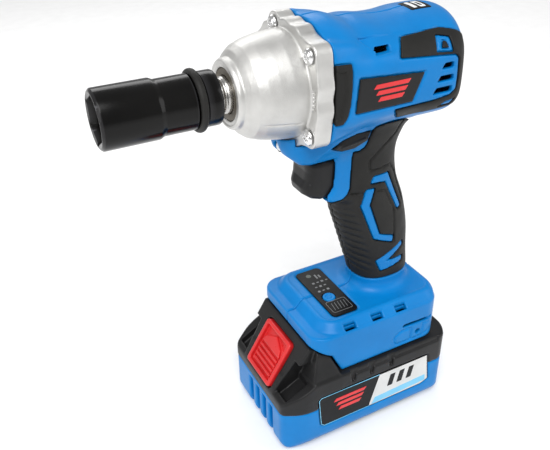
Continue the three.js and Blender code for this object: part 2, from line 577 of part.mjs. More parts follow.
function cellRow(z) {
  const cells = [-2, -1, 0, 1, 2].map((i) =>
    rod('y', -CELL_LENGTH / 2, CELL_LENGTH / 2, CELL_R, [6 + i * CELL_PITCH, z], 10));
  const strips = [-1, 1].map((side) => block(6 - 2 * CELL_PITCH - 4, 6 + 2 * CELL_PITCH + 4,
    side * (CELL_LENGTH / 2 + 0.1) - 0.2, side * (CELL_LENGTH / 2 + 0.1) + 0.2, z - 3.5, z + 3.5));
  return join(...cells, ...strips);
}

function batteryBoard() {
  const clips = [-12, 0, 12].map((y) => cut(block(22, 38, y - 2.6, y + 2.6, 44, 63),
    block(20, 40, y - 0.8, y + 0.8, 56, 70)));
  return join(block(-14, 42.5, -17, 17, 42.6, 44.2), ...clips);
}

// ---- assembly ----
const tool = new THREE.Group();
tool.name = 'impact_wrench';

function place(name, solid, material, parent = tool) {
  const pieces = solid.decompose();
  if (pieces.length !== 1) throw new Error(`${name} has ${pieces.length} bodies`);
  const mesh = new THREE.Mesh(toGeometry(solid), material);
  mesh.name = name;
  parent.add(mesh);
  return mesh;
}

const shell = housing();
const SIDES = { left: -1, right: 1 };
for (const [word, side] of Object.entries(SIDES)) {
  place(`housing_${word}`, halfOf(shell, side), BLUE);
  place(`grip_${word}`, gripHalf(side), RUBBER_BLACK);
  for (const name of Object.keys(PANELS)) place(`${name}_${word}`, panel(name, side), RUBBER_BLACK);
  place(`battery_label_${word}`, packLabel(side), LABEL);
}
SCREWS.forEach((screw, i) => place(`housing_screw_${i + 1}`, housingScrew(screw), STEEL));

place('hammer_case', hammerCase(), CAST);
LUGS.forEach((lug, i) => place(`case_screw_${i + 1}`, caseScrew(lug), CHROME));
place('nose_bushing', tubeX(CASE_FRONT + 0.3, -58.6, JOURNAL_R + GAP, 12.4, 28), BRONZE);
place('impact_socket', impactSocket(), BLACK_STEEL);
place('socket_ring', socketRing(), RUBBER_BLACK);
place('anvil', anvil(), STEEL);
place('hammer', hammer(), STEEL);
place('hammer_spring', onAxis(coilSpring(14, 1.5, -33.9, -12.3, 4)), SPRING_STEEL);
place('cam_shaft', camShaft(), STEEL);
[1, -1].forEach((side, i) => place(`cam_ball_${i + 1}`, ballAt(side, 2.4), CHROME));
[0, 1, 2].forEach((i) => place(`planet_gear_${i + 1}`, planetGear(i), STEEL));
place('ring_gear', ringGear(), STEEL);
place('gearbox_plate', gearboxPlate(), CAST);
place('front_bearing', bearing(8.4, 13, 2.8, 11), STEEL);
place('motor_shaft', motorShaft(), STEEL);
place('motor_rotor', tubeX(15, 39, 2.8, 12.9, 24), SPRING_STEEL);
place('motor_stator', motorStator(), COPPER);
place('motor_fan', motorFan(), BLACK);
place('rear_bearing', bearing(47.6, 51.6, 2.8, 8), STEEL);

place('trigger', trigger(), BLACK);
place('trigger_spring', coilSpring(4, 0.6, -7.3, 6.5, 5, 8).translate([0, 0, 168]), SPRING_STEEL);
place('switch_body', switchBody(), BLACK);
place('direction_lever', directionLever(), BLACK);
place('led_lens', ledLens(), CLEAR);
place('panel_overlay', panelOverlay(), BLACK);
place('mode_button', modeButton(), BLUE);
place('control_board', controlBoard(), BOARD_GREEN);
place('terminal_block', terminalBlock(), BLACK);

place('battery_lower_case', batteryLowerCase(), BLUE);
place('battery_upper_case', batteryUpperCase(), RUBBER_BLACK);
place('release_button', releaseButton(), RED);
place('release_spring', releaseSpring(), SPRING_STEEL);
place('cell_row_lower', cellRow(12.4), CELL_WRAP);
place('cell_row_upper', cellRow(12.4 + CELL_PITCH), CELL_WRAP);
place('battery_board', batteryBoard(), BOARD_GREEN);

export default tool;
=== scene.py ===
"""Looks of the cordless impact wrench: fine moulded shells, castings, turned steel and materials.

Shapes are worked out in millimetres in the part's own frame and turned into metres as meshes.
The moulded pieces are distance fields sampled on a grid, so that every edge gets its small radius.
"""
import json
import math

import bmesh
import bpy
import numpy as np
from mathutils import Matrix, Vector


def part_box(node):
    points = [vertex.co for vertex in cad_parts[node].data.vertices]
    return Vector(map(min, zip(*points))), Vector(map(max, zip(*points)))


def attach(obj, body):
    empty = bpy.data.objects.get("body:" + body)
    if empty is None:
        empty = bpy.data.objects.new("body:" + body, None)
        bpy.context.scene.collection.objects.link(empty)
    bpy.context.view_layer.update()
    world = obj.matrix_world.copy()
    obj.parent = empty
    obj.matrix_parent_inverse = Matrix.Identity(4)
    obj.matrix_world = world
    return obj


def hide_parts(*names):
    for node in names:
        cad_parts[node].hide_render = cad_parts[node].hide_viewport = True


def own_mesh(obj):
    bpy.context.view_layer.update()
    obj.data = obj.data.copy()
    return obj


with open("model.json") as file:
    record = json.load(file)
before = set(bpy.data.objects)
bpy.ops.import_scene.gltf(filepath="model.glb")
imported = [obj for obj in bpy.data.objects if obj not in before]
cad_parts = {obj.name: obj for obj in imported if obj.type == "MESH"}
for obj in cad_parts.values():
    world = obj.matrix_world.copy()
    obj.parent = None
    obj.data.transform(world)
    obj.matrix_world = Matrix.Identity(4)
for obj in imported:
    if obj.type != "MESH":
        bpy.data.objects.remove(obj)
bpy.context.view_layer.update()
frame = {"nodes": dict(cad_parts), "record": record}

import openvdb
from mathutils import Matrix, Vector

MM = 0.001
SIDES = {"left": -1, "right": 1}


def extent(node):
    """A CAD node's lowest and highest corner in millimetres."""
    low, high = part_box(node)
    return np.array(low) / MM, np.array(high) / MM


# ---- places taken from the frame, in millimetres ----
SOCKET_LOW, SOCKET_HIGH = extent("impact_socket")
AXIS_Z = (SOCKET_LOW[2] + SOCKET_HIGH[2]) / 2
CASE_LOW, CASE_HIGH = extent("hammer_case")
BODY_FRONT = CASE_HIGH[0] + 0.3
BODY_REAR = extent("housing_left")[1][0]
PACK_END, PACK_HALF = extent("battery_lower_case")[1][:2]
PACK_SPLIT = extent("battery_upper_case")[0][2]
BUTTON_LOW, BUTTON_HIGH = extent("mode_button")
BUTTON_X, BUTTON_Y = ((BUTTON_LOW + BUTTON_HIGH) / 2)[:2]
PANEL_LOW, PANEL_HIGH = extent("panel_overlay")
DECK_Z = PANEL_HIGH[2]
LUGS = [((extent(f"case_screw_{i}")[0] + extent(f"case_screw_{i}")[1]) / 2)[1:] for i in range(1, 5)]

# ---- sizes the frame doesn't give, in millimetres ----
WALL = 2.9              # housing shell under its outer skin
SEAM = 0.05             # half the gap between the housing halves
FLAT_SIDE = 32.6        # half width of the barrel's flat flanks
BARREL_WIDE = 36        # half width of the barrel's oval before the flanks are cut
FOOT_HALF = 34.0
FOOT_BOTTOM = 51.0
FOOT_FRONT = -39.4
FOOT_REAR = 51.5
GRIP_BOTTOM = 93.5
REAR_START, REAR_BLEND = 43, 12         # where outlines on the barrel start to follow the plain height
LABEL_DEPTH = 0.9                       # pocket for the battery's side labels
PLAN_CHAMFER = 6.3                      # across the pack, at its front corners
PLAN_CHAMFER_LONG = 12.2                # along the pack, at its front corners


# ---- distance fields ----
class Grid:
    """Sample points of a box; x, y and z broadcast against each other."""

    def __init__(self, low, high, step):
        self.low = np.array(low, np.float32)
        self.step = np.broadcast_to(np.array(step, np.float32), 3)
        axes = [np.arange(lo, hi + d, d, dtype=np.float32) for lo, hi, d in zip(low, high, self.step)]
        self.x = axes[0][:, None, None]
        self.y = axes[1][None, :, None]
        self.z = axes[2][None, None, :]
        self.shape = tuple(len(a) for a in axes)


def smax(a, b, k):
    """Intersection of two fields with its edge rounded over k."""
    h = np.maximum(k - np.abs(a - b), 0) / k
    return np.maximum(a, b) + h * h * k * 0.25


def smin(a, b, k):
    return -smax(-a, -b, k)


def slab(value, low, high):
    return np.maximum(low - value, value - high)


def boxed(g, x, y, z):
    return np.maximum(np.maximum(slab(g.x, *x), slab(g.y, *y)), slab(g.z, *z))


def polygon(u, v, points):
    """Signed distance to a closed outline in the plane of u and v."""
    points = np.array(points, np.float32)
    distance = np.full(np.broadcast(u, v).shape, 1e9, np.float32)
    inside = np.zeros(distance.shape, bool)
    for (ax, ay), (bx, by) in zip(points, np.roll(points, -1, 0)):
        ex, ey = bx - ax, by - ay
        wx, wy = u - ax, v - ay
        t = np.clip((wx * ex + wy * ey) / (ex * ex + ey * ey), 0, 1)
        distance = np.minimum(distance, (wx - ex * t) ** 2 + (wy - ey * t) ** 2)
        crosses = (ay > v) != (by > v)
        if ey:
            inside ^= crosses & (wx < ex * wy / ey)
    return np.where(inside, -1, 1) * np.sqrt(distance)


def rounded_box(u, v, middle, half, radius):
    qu = np.abs(u - middle[0]) - half[0] + radius
    qv = np.abs(v - middle[1]) - half[1] + radius
    return np.hypot(np.maximum(qu, 0), np.maximum(qv, 0)) + np.minimum(np.maximum(qu, qv), 0) - radius


def segment(u, v, a, b):
    """Distance to the line from a to b."""
    ex, ey = b[0] - a[0], b[1] - a[1]
    t = np.clip(((u - a[0]) * ex + (v - a[1]) * ey) / (ex * ex + ey * ey), 0, 1)
    return np.hypot(u - a[0] - ex * t, v - a[1] - ey * t)


def path(u, v, points):
    return np.minimum.reduce([segment(u, v, a, b) for a, b in zip(points, points[1:])])


def curve(t, knots, values):
    """Smooth curve through the values at the knots, level beyond the ends."""
    knots = np.array(knots, np.float64)
    values = np.array(values, np.float64)
    slopes = np.gradient(values, knots)
    t = np.clip(t, knots[0], knots[-1])
    i = np.clip(np.searchsorted(knots, t, side="right") - 1, 0, len(knots) - 2)
    h = knots[i + 1] - knots[i]
    s = (t - knots[i]) / h
    a = (1 + 2 * s) * (1 - s) ** 2 * values[i] + s * (1 - s) ** 2 * h * slopes[i]
    b = s * s * (3 - 2 * s) * values[i + 1] + s * s * (s - 1) * h * slopes[i + 1]
    return (a + b).astype(np.float32)


def oval(u, v, a, b, power=2.0):
    """Distance to a superellipse of half sizes a and b, close to true near its edge."""
    pu, pv = np.abs(u / a), np.abs(v / b)
    f = np.maximum((pu ** power + pv ** power) ** (1 / power), 1e-4)
    slope = np.hypot(pu ** (power - 1) / a, pv ** (power - 1) / b) * f ** (1 - power)
    return (f - 1) / np.maximum(slope, 1e-4)


# ---- meshes ----
def new_piece(name, points, faces):
    """A mesh object from arrays of points in millimetres and of quads."""
    mesh = bpy.data.meshes.new(name)
    mesh.vertices.add(len(points))
    mesh.vertices.foreach_set("co", np.asarray(points, np.float32).ravel() * MM)
    mesh.loops.add(faces.size)
    mesh.loops.foreach_set("vertex_index", faces.astype(np.int32).ravel())
    mesh.polygons.add(len(faces))
    mesh.polygons.foreach_set("loop_start", np.arange(0, faces.size, faces.shape[1], dtype=np.int32))
    mesh.update(calc_edges=True)
    mesh.validate()
    mesh.shade_smooth()
    piece = bpy.data.objects.new(name, mesh)
    bpy.context.scene.collection.objects.link(piece)
    return piece


def relax(points, faces, rounds, factor=0.5):
    """Evens out the surface by moving each point towards the middle of its neighbours."""
    a = faces.ravel()
    b = np.roll(faces, -1, 1).ravel()
    count = np.bincount(np.concatenate([a, b]), minlength=len(points))[:, None]
    for i in range(rounds):
        total = np.stack([np.bincount(np.concatenate([a, b]), points[np.concatenate([b, a]), k], len(points))
                          for k in range(3)], 1)
        points = points + (total / np.maximum(count, 1) - points) * (factor if i % 2 == 0 else -factor * 1.04)
    return points


def solid(name, g, field, rounds=2, place=None):
    """The surface where the field is zero, as a mesh object. place moves its points, keeping their hand."""
    field = np.broadcast_to(field, g.shape).astype(np.float32)
    band = float(3 * g.step.max())
    padded = np.pad(np.clip(field, -band, band), 1, constant_values=band)
    volume = openvdb.FloatGrid(background=band)
    volume.copyFromArray(np.ascontiguousarray(padded))
    points, quads = volume.convertToQuads(isovalue=0.0)
    points = (points - 1) * g.step + g.low
    faces = quads[:, ::-1]
    points = relax(points, faces, rounds)
    return new_piece(name, place(points) if place else points, faces)


def mirrored(name, g, field, side, rounds=2):
    """A solid sampled with its outside towards +Y, set on the left or the right side."""
    piece = solid(name, g, field, rounds)
    if side < 0:
        piece.data.transform(Matrix.Diagonal((1, -1, 1, 1)))
        piece.data.flip_normals()
    return piece


def tidy(piece):
    """Merges doubled points, drops flat faces and turns the faces outward."""
    bm = bmesh.new()
    bm.from_mesh(piece.data)
    bmesh.ops.remove_doubles(bm, verts=bm.verts, dist=1e-6)
    bmesh.ops.dissolve_degenerate(bm, edges=bm.edges, dist=1e-6)
    bmesh.ops.recalc_face_normals(bm, faces=bm.faces)
    bm.to_mesh(piece.data)
    bm.free()
    return piece


def sharpen(piece, degrees=32):
    """Smooth shading with edges sharper than the angle kept crisp."""
    piece.data.shade_smooth()
    piece.data.set_sharp_from_angle(angle=math.radians(degrees))
    return piece


# ---- materials ----
MIX_FIRST, MIX_SECOND, MIX_RESULT = 6, 7, 2     # the colour sockets of a mix node
def ramp(tree, source, low, high, colours):
    """Source values from low to high become a smooth change between colours."""
    made = tree.nodes.new("ShaderNodeValToRGB")
    stops = made.color_ramp.elements
    stops[0].position, stops[1].position = low, high
    for i, colour in enumerate(colours):
        stops[i].color = (*colour, 1)
    tree.links.new(source, made.inputs["Fac"])
    return made.outputs["Color"]


def noise(tree, scale, detail=3.0, roughness=0.5, stretch=None):
    """Noise in the frame's own metres, so it stays with the surface."""
    where = tree.nodes.new("ShaderNodeTexCoord").outputs["Object"]
    if stretch:
        mapping = tree.nodes.new("ShaderNodeMapping")
        mapping.inputs["Scale"].default_value = stretch
        tree.links.new(where, mapping.inputs["Vector"])
        where = mapping.outputs["Vector"]
    made = tree.nodes.new("ShaderNodeTexNoise")
    made.inputs["Scale"].default_value = scale
    made.inputs["Detail"].default_value = detail
    made.inputs["Roughness"].default_value = roughness
    tree.links.new(where, made.inputs["Vector"])
    return made.outputs["Fac"]


def remap(tree, source, low, high, start=0.3, end=0.7):
    """Source values from start to end become values from low to high."""
    made = tree.nodes.new("ShaderNodeMapRange")
    made.inputs["From Min"].default_value = start
    made.inputs["From Max"].default_value = end
    made.inputs["To Min"].default_value = low
    made.inputs["To Max"].default_value = high
    tree.links.new(source, made.inputs["Value"])
    return made.outputs["Result"]


def material(name, colours, rough, grain, bump, fixed=None, stretch=None, edge_highlight=None):
    """A finish: two close colours in slow noise, roughness in its own noise, fine grain as bump.

    grain is the bump noise's scale per metre and bump its depth in millimetres. The last argument holds a
    painted highlight: a lighter colour on convex edges, the pointiness at which it starts, and its share
    there.
    """
    made = bpy.data.materials.new(name)
    made.use_nodes = True
    tree = made.node_tree
    shader = tree.nodes["Principled BSDF"]
    for socket, value in (fixed or {}).items():
        shader.inputs[socket].default_value = value
    colour = ramp(tree, noise(tree, 38, 4, 0.6, stretch), 0.35, 0.65, colours)
    # Painted highlight: a lighter copy of the colour on convex edges, where light catches them.
    if edge_highlight:
        highlight_colour, start, share = edge_highlight
        edge = tree.nodes.new("ShaderNodeNewGeometry").outputs["Pointiness"]
        mix = tree.nodes.new("ShaderNodeMix")
        mix.data_type = "RGBA"
        mix.inputs[MIX_SECOND].default_value = (*highlight_colour, 1)
        tree.links.new(remap(tree, edge, 0, share, start, start + 0.08), mix.inputs["Factor"])
        tree.links.new(colour, mix.inputs[MIX_FIRST])
        colour = mix.outputs[MIX_RESULT]
    tree.links.new(colour, shader.inputs["Base Color"])
    tree.links.new(remap(tree, noise(tree, 90, 5, 0.65, stretch), *rough), shader.inputs["Roughness"])
    fine = tree.nodes.new("ShaderNodeBump")
    fine.inputs["Strength"].default_value = 0.6
    fine.inputs["Distance"].default_value = bump * MM
    tree.links.new(noise(tree, grain, 2, 0.5, stretch), fine.inputs["Height"])
    tree.links.new(fine.outputs["Normal"], shader.inputs["Normal"])
    return made


BRUSHED = (1, 8, 8)
# The lighter edge colours given to the finishes below are painted highlights on convex edges.
FINISHES = {
    "blue_plastic": material("blue_plastic_finish", [(0.0003, 0.165, 0.47), (0.0006, 0.19, 0.53)],
                             (0.3, 0.4), 2600, 0.05, {"Specular IOR Level": 0.22},
                             edge_highlight=((0.01, 0.33, 0.78), 0.52, 0.5)),
    "black_rubber": material("black_rubber_finish", [(0.011, 0.0108, 0.010), (0.017, 0.0166, 0.0155)],
                             (0.46, 0.6), 2200, 0.12, {"Specular IOR Level": 0.2},
                             edge_highlight=((0.05, 0.049, 0.046), 0.52, 0.5)),
    "black_plastic": material("black_plastic_finish", [(0.008, 0.008, 0.0085), (0.013, 0.013, 0.0135)],
                              (0.32, 0.44), 2400, 0.08, {"Specular IOR Level": 0.24},
                              edge_highlight=((0.045, 0.045, 0.046), 0.52, 0.5)),
    "impact_steel": material("impact_steel_finish", [(0.0016, 0.0015, 0.0014), (0.0034, 0.0032, 0.003)],
                             (0.14, 0.24), 1500, 0.02, {"Specular IOR Level": 0.24},
                             edge_highlight=((0.11, 0.11, 0.12), 0.53, 0.6)),
    "cast_aluminium": material("cast_aluminium_finish", [(0.56, 0.555, 0.54), (0.68, 0.675, 0.655)],
                               (0.36, 0.5), 1900, 0.12, {"Metallic": 0.85}),
    "steel": material("steel_finish", [(0.5, 0.49, 0.47), (0.62, 0.61, 0.59)], (0.2, 0.34), 2400, 0.02,
                      {"Metallic": 1.0}, BRUSHED),
    "chrome": material("chrome_finish", [(0.74, 0.74, 0.74), (0.84, 0.84, 0.84)], (0.08, 0.2), 1500, 0.01,
                       {"Metallic": 1.0}),
    "spring_steel": material("spring_steel_finish", [(0.2, 0.2, 0.21), (0.32, 0.32, 0.33)],
                             (0.28, 0.42), 2400, 0.02, {"Metallic": 1.0}, BRUSHED),
    "copper": material("copper_finish", [(0.42, 0.16, 0.07), (0.56, 0.24, 0.11)], (0.3, 0.48), 3200, 0.15,
                       {"Metallic": 0.9}),
    "bronze": material("bronze_finish", [(0.11, 0.095, 0.075), (0.16, 0.14, 0.11)], (0.4, 0.55), 2400, 0.06,
                       {"Metallic": 0.7}),
    "circuit_board": material("circuit_board_finish", [(0.01, 0.085, 0.03), (0.016, 0.12, 0.045)],
                              (0.4, 0.55), 900, 0.1),
    "red_plastic": material("red_plastic_finish", [(0.52, 0.012, 0.014), (0.62, 0.018, 0.02)],
                            (0.26, 0.36), 2400, 0.05, edge_highlight=((0.85, 0.09, 0.09), 0.52, 0.6)),
    "clear_lens": material("clear_lens_finish", [(0.75, 0.8, 0.84), (0.85, 0.89, 0.92)],
                           (0.06, 0.14), 900, 0.01, {"IOR": 1.5, "Coat Weight": 0.5}),
    "cell_wrap": material("cell_wrap_finish", [(0.02, 0.2, 0.1), (0.03, 0.26, 0.14)],
                          (0.3, 0.42), 1200, 0.03),
    "label_print": material("label_print_finish", [(0.6, 0.6, 0.59), (0.7, 0.7, 0.69)], (0.34, 0.44), 1600,
                            0.02, {"Metallic": 0.35}),
}
PALE_INK = material("pale_ink_finish", [(0.16, 0.165, 0.17), (0.22, 0.23, 0.235)], (0.4, 0.52), 1600, 0.02)
SKY_INK = material("sky_ink_finish", [(0.12, 0.46, 0.72), (0.2, 0.56, 0.8)], (0.32, 0.42), 1600, 0.02)
RED_INK = material("red_ink_finish", [(0.62, 0.016, 0.02), (0.72, 0.026, 0.03)], (0.3, 0.4), 1600, 0.02)
DARK_INK = material("dark_ink_finish", [(0.003, 0.003, 0.0033), (0.006, 0.006, 0.0065)],
                    (0.34, 0.44), 1600, 0.02, {"Specular IOR Level": 0.18})
LAMP_INK = material("lamp_ink_finish", [(0.05, 0.065, 0.055), (0.08, 0.1, 0.085)], (0.34, 0.44), 1600, 0.02)
WHITE_INK = material("white_ink_finish", [(0.74, 0.75, 0.75), (0.86, 0.87, 0.87)], (0.34, 0.44), 1600, 0.02)


def add(piece, body, slot, *nodes, finish=None):
    """The piece rides on its body, takes its finish, and stands for the nodes named."""
    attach(piece, body)
    if nodes:
        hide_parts(*nodes)
    piece.data.materials.clear()
    piece.data.materials.append(finish or FINISHES[slot])
    return piece


# ---- camera, light and floor ----
EYE_PLACE = (-0.18141, -0.2683, 0.32857)        # metres
EYE_HEADING, EYE_DOWN, EYE_ROLL = -26.86, 31.78, -1.32      # degrees
EYE_LENS, EYE_SENSOR = 42.37, 36                # millimetres
SCENE_MIDDLE = (0, 0, 0.12)                     # what the lamps point at, in metres
SOFT_BOXES = {                                  # place and size in metres, power in watts
    "key_soft_box": ((-0.55, -0.75, 0.95), (0.6, 0.6), 4.5),
    "fill_soft_box": ((0.8, -0.55, 0.55), (0.5, 0.8), 2.4),
    "rim_soft_box": ((0.1, 0.85, 0.8), (0.9, 0.4), 3.2),
    "nose_soft_box": ((-1.0, 0.1, 0.45), (0.4, 0.7), 1.6),
}


def camera():
    """The photograph's view: from the front left, looking down on the tool."""
    data = bpy.data.cameras.new("photo_camera")
    data.sensor_width, data.lens = EYE_SENSOR, EYE_LENS
    eye = bpy.data.objects.new("photo_camera", data)
    heading = Matrix.Rotation(math.radians(EYE_HEADING), 4, "Z")
    tilt = Matrix.Rotation(math.radians(90 - EYE_DOWN), 4, "X")
    roll = Matrix.Rotation(math.radians(EYE_ROLL), 4, "Z")
    eye.matrix_world = Matrix.Translation(EYE_PLACE) @ (heading @ tilt @ roll)
    bpy.context.scene.collection.objects.link(eye)
    bpy.context.scene.camera = eye


def area_light(name, place, size, power):
    data = bpy.data.lights.new(name, "AREA")
    data.shape, data.size, data.size_y = "RECTANGLE", *size
    data.energy = power
    lamp = bpy.data.objects.new(name, data)
    lamp.location = place
    lamp.rotation_euler = (Vector(SCENE_MIDDLE) - Vector(place)).to_track_quat("-Z", "Y").to_euler()
    bpy.context.scene.collection.objects.link(lamp)


def studio():
    """A white floor, four soft boxes, a broad overhead light and a white world."""
    bm = bmesh.new()
    bmesh.ops.create_grid(bm, x_segments=24, y_segments=24, size=4)
    mesh = bpy.data.meshes.new("floor")
    bm.to_mesh(mesh)
    bm.free()
    floor = bpy.data.objects.new("floor", mesh)
    bpy.context.scene.collection.objects.link(floor)
    floor.location.z = -0.0004
    paper = material("paper_finish", [(0.86, 0.86, 0.86), (0.89, 0.89, 0.89)], (0.75, 0.85), 400, 0.02)
    floor.data.materials.append(paper)
    for name, (place, size, power) in SOFT_BOXES.items():
        area_light(name, place, size, power)
    data = bpy.data.lights.new("room_light", "SUN")
    data.energy, data.angle = 1.9, math.radians(40)
    sun = bpy.data.objects.new("room_light", data)
    sun.rotation_euler = Vector((0.35, 0.5, -1)).to_track_quat("-Z", "Y").to_euler()
    bpy.context.scene.collection.objects.link(sun)
    world = bpy.data.worlds.new("studio_world")
    world.use_nodes = True
    world.node_tree.nodes["Background"].inputs["Color"].default_value = (1, 1, 1, 1)
    world.node_tree.nodes["Background"].inputs["Strength"].default_value = 0.42
    bpy.context.scene.world = world
    bpy.context.scene.view_settings.view_transform = "Standard"


# ---- outer skin of the housing ----
BARREL_X = (-32.5, -18.5, -14, -11, -2.8, 9, 21, 28.6, 36.9, 46.6, 54.5)
BARREL_RISE = (31.2, 31.2, 29.8, 28.7, 28.6, 27.2, 27.3, 28.3, 28.5, 28.1, 26.4)
HANDLE_Z = (80, 93, 108, 125, 144, 162, 180, 200)
HANDLE_X = (24.5, 24.5, 21.6, 18.1, 12.9, 8.2, 7.1, 10)
HANDLE_LONG = (18.6, 18.4, 20, 21.8, 22.4, 20.4, 19.8, 23)
HANDLE_WIDE = (16, 15.8, 15.6, 16.5, 17, 16.6, 17.4, 23)
NOSE = [(-4, 204), (-33, 204), (-44.6, 197), (-45, 191), (-42.4, 186), (-36.6, 181.2), (-31, 179.8),
        (-16.8, 180), (-16.4, 174), (-17, 164), (-20.6, 159.2), (-20.2, 155.4), (-17, 153), (-10, 152.4),
        (-4, 152.4)]
FOOT_SIDE = [(FOOT_FRONT, 71.8), (-27, 64.8), (-20.2, FOOT_BOTTOM), (FOOT_REAR, FOOT_BOTTOM), (FOOT_REAR, 90),
             (FOOT_FRONT, 90)]
FOOT_MIDDLE = (FOOT_FRONT + FOOT_REAR) / 2
FOOT_LONG = (FOOT_REAR - FOOT_FRONT) / 2
LEDGE_Z = 79.2                # top of the foot's outer wall
DECK_HALF = 28.0


def side_lugs(side):
    """The screw lugs on one side, as (distance across, height)."""
    return [(abs(y), z) for y, z in LUGS if y * side > 0]


def flank_height(g, up):
    """Height of a point when it is carried straight out from the drive axis onto the flat flank.

    Outlines drawn on the flank keep square walls where the barrel curves over; towards the rear
    end the plain height takes over.
    """
    rear = np.clip((g.x - REAR_START) / REAR_BLEND, 0, 1)
    across = np.maximum(np.abs(g.y), np.maximum(FLAT_SIDE * rear, 4))
    return AXIS_Z + up * FLAT_SIDE / np.minimum(across, FLAT_SIDE)


def on_flank(points):
    """Outline points (x, height on the skin) in flank heights."""
    moved = []
    for x, z in points:
        up = z - AXIS_Z
        rise = float(curve(np.array([x]), BARREL_X, BARREL_RISE)[0])
        across = BARREL_WIDE * math.sqrt(max(1 - (up / rise) ** 2, 0.02))
        rear = min(max((x - REAR_START) / REAR_BLEND, 0), 1)
        moved.append((x, AXIS_Z + up * FLAT_SIDE / min(max(across, FLAT_SIDE * rear, 4), FLAT_SIDE)))
    return moved


def barrel_field(g, side):
    up = g.z - AXIS_Z
    tube = oval(g.y, up, BARREL_WIDE, curve(g.x, BARREL_X, BARREL_RISE))
    body = smax(tube, np.abs(g.y) - FLAT_SIDE, 2)
    body = smax(body, g.x - BODY_REAR - 1.5 + 0.0105 * g.y ** 2 + 0.0034 * (up + 5) ** 2, 8)
    scoop = polygon(g.x, flank_height(g, up), SCOOP)
    fall = 1.5 * np.clip(1 - (g.x + 12) / 26, 0, 1)
    body = smax(body, -smax(scoop, -(body + fall), 0.4), 0.5)
    for y, z in side_lugs(side):
        reach = 5.7 - 0.3 * (g.x - BODY_FRONT)
        boss = np.maximum(np.hypot(g.y - y, g.z - z) - reach, slab(g.x, BODY_FRONT - 2, -16))
        body = smin(body, boss, 2.5)
    return smax(body, BODY_FRONT - g.x, 0.8)


def handle_field(g):
    centre, long, wide = (curve(g.z, HANDLE_Z, row) for row in (HANDLE_X, HANDLE_LONG, HANDLE_WIDE))
    column = oval(g.x - centre, g.y, long, wide, 2.3)
    return np.maximum(column, slab(g.z, 84, 206))


def nose_field(g):
    """The trigger guard's top and the neck in front of the handle."""
    tall = curve(g.z, (178, 184, 191, 205), (13.5, 15.5, 20.5, 22.5))
    front = curve(g.x, (-44, -41, -37, -30, -22), (7, 11.5, 14, 15.5, 22.5))
    return smax(polygon(g.x, g.z, NOSE), np.abs(g.y) - np.minimum(tall, front), 4.5)


def foot_field(g):
    plan = rounded_box(g.x, g.y, (FOOT_MIDDLE, 0), (FOOT_LONG, FOOT_HALF), 11)
    wall = smax(smax(polygon(g.x, g.z, FOOT_SIDE), plan, 1.6), g.z - LEDGE_Z, 1.4)
    rim = rounded_box(g.x, g.y, (10.6, 0), (39.2, DECK_HALF), 9)
    deck = smax((rim + (g.z - DECK_Z) * 0.9) * 0.75, g.z - DECK_Z, 1.4)
    deck = np.maximum(deck, np.maximum(LEDGE_Z - 3 - g.z, plan + 0.9))
    inside = np.maximum(rim + 2.2, DECK_Z - 0.25 - g.z)
    return smax(smin(wall, deck, 0.8), -inside, 0.5)


# ---- outlines on the side of the housing, as (x, z) ----
FRONT_PAD = [(-34, 237.6), (-20.7, 236.8), (-20.3, 226.4), (-20.9, 217), (-22.2, 211.6), (-24.7, 207.8),
             (-34, 208)]
BADGE_PLATE = [(-16.8, 229.3), (21.1, 226.4), (14.8, 211.9), (-18.4, 211.7)]
SCOOP = [(-12.4, 256), (-9.6, 248), (-4.8, 239.6), (3, 239.8), (11, 247), (15, 256)]
BUMPER = [(6, 234.6), (11.6, 242.2), (34, 243.5), (44, 241.5), (64, 238), (64, 204), (40, 203.4),
          (10.5, 202.5), (4.9, 209.3), (28, 209.8), (38, 211.2), (41.9, 213.5), (42.4, 219),
          (41.5, 230), (39, 231.8)]
UPPER_BADGE = [(30.2, 241), (37.2, 239.6), (37, 233.7), (27.6, 234.6)]
BADGE_ARROW = [(30.6, 235.6), (35.4, 235.2), (34.6, 238.3), (32.6, 238.8)]
LOWER_BADGE = [(33.5, 205.2), (36, 207.6), (42.5, 208.4), (40.5, 205.4)]
GRIP = [(-6.5, 183), (-6.5, 160.6), (-8, 157), (-11, 154.6), (-30, 152.8), (-30, GRIP_BOTTOM),
        (64, GRIP_BOTTOM), (64, 212), (3, 205), (0.9, 196), (0.1, 188.4), (-0.6, 185.4), (-3.6, 183)]
CHEVRONS = [
    [(5.6, 162.2), (6.9, 165.4), (16.4, 165.3), (27.5, 141.4), (25.5, 140.7), (15.1, 161.4)],
    [(3, 158), (7.4, 158), (4.9, 148), (13.2, 126.3), (23.1, 122.5), (23.1, 118.9), (10.7, 124.2),
     (0.8, 148.1)],
    [(14.2, 106.7), (31.4, 115.3), (32.4, 113), (19.4, 104.7), (32.8, 104.2), (32.4, 101.7),
     (17.6, 99.1)],
]
GRIP_LINES = [
    [(18, 198), (16.8, 191.6), (3.2, 176.6), (3.4, 170), (17.1, 170.9), (22.4, 164.4), (30.3, 144)],
    [(9.5, 156.5), (14.1, 155.8), (21.9, 141.9), (24.5, 118.5)],
    [(-6, 157.4), (2.8, 156.3)],
]
VENT_ROWS = [(31.2, 38.8, 226.8), (29.2, 39.4, 220.5), (27.2, 39.2, 214.5)]
LEVER_SLOT = [(-23.5, 190.4), (-18, 194.6), (-9, 196.6), (1.2, 196), (-2.4, 190.4), (-9.5, 187.2),
              (-17.5, 187.2)]
SCREWS = [((extent(f"housing_screw_{i}")[0] + extent(f"housing_screw_{i}")[1]) / 2,
           extent(f"housing_screw_{i}")[1][1]) for i in range(1, 6)]


def badge_windows(g):
    """Where the blue shell shows through the rear wrap: a frame round an arrow, and a small wedge."""
    height = flank_height(g, g.z - AXIS_Z)
    arrow = polygon(g.x, height, on_flank(BADGE_ARROW))
    framed = np.maximum(polygon(g.x, height, on_flank(UPPER_BADGE)), -arrow)
    return np.minimum(framed, polygon(g.x, height, on_flank(LOWER_BADGE)))


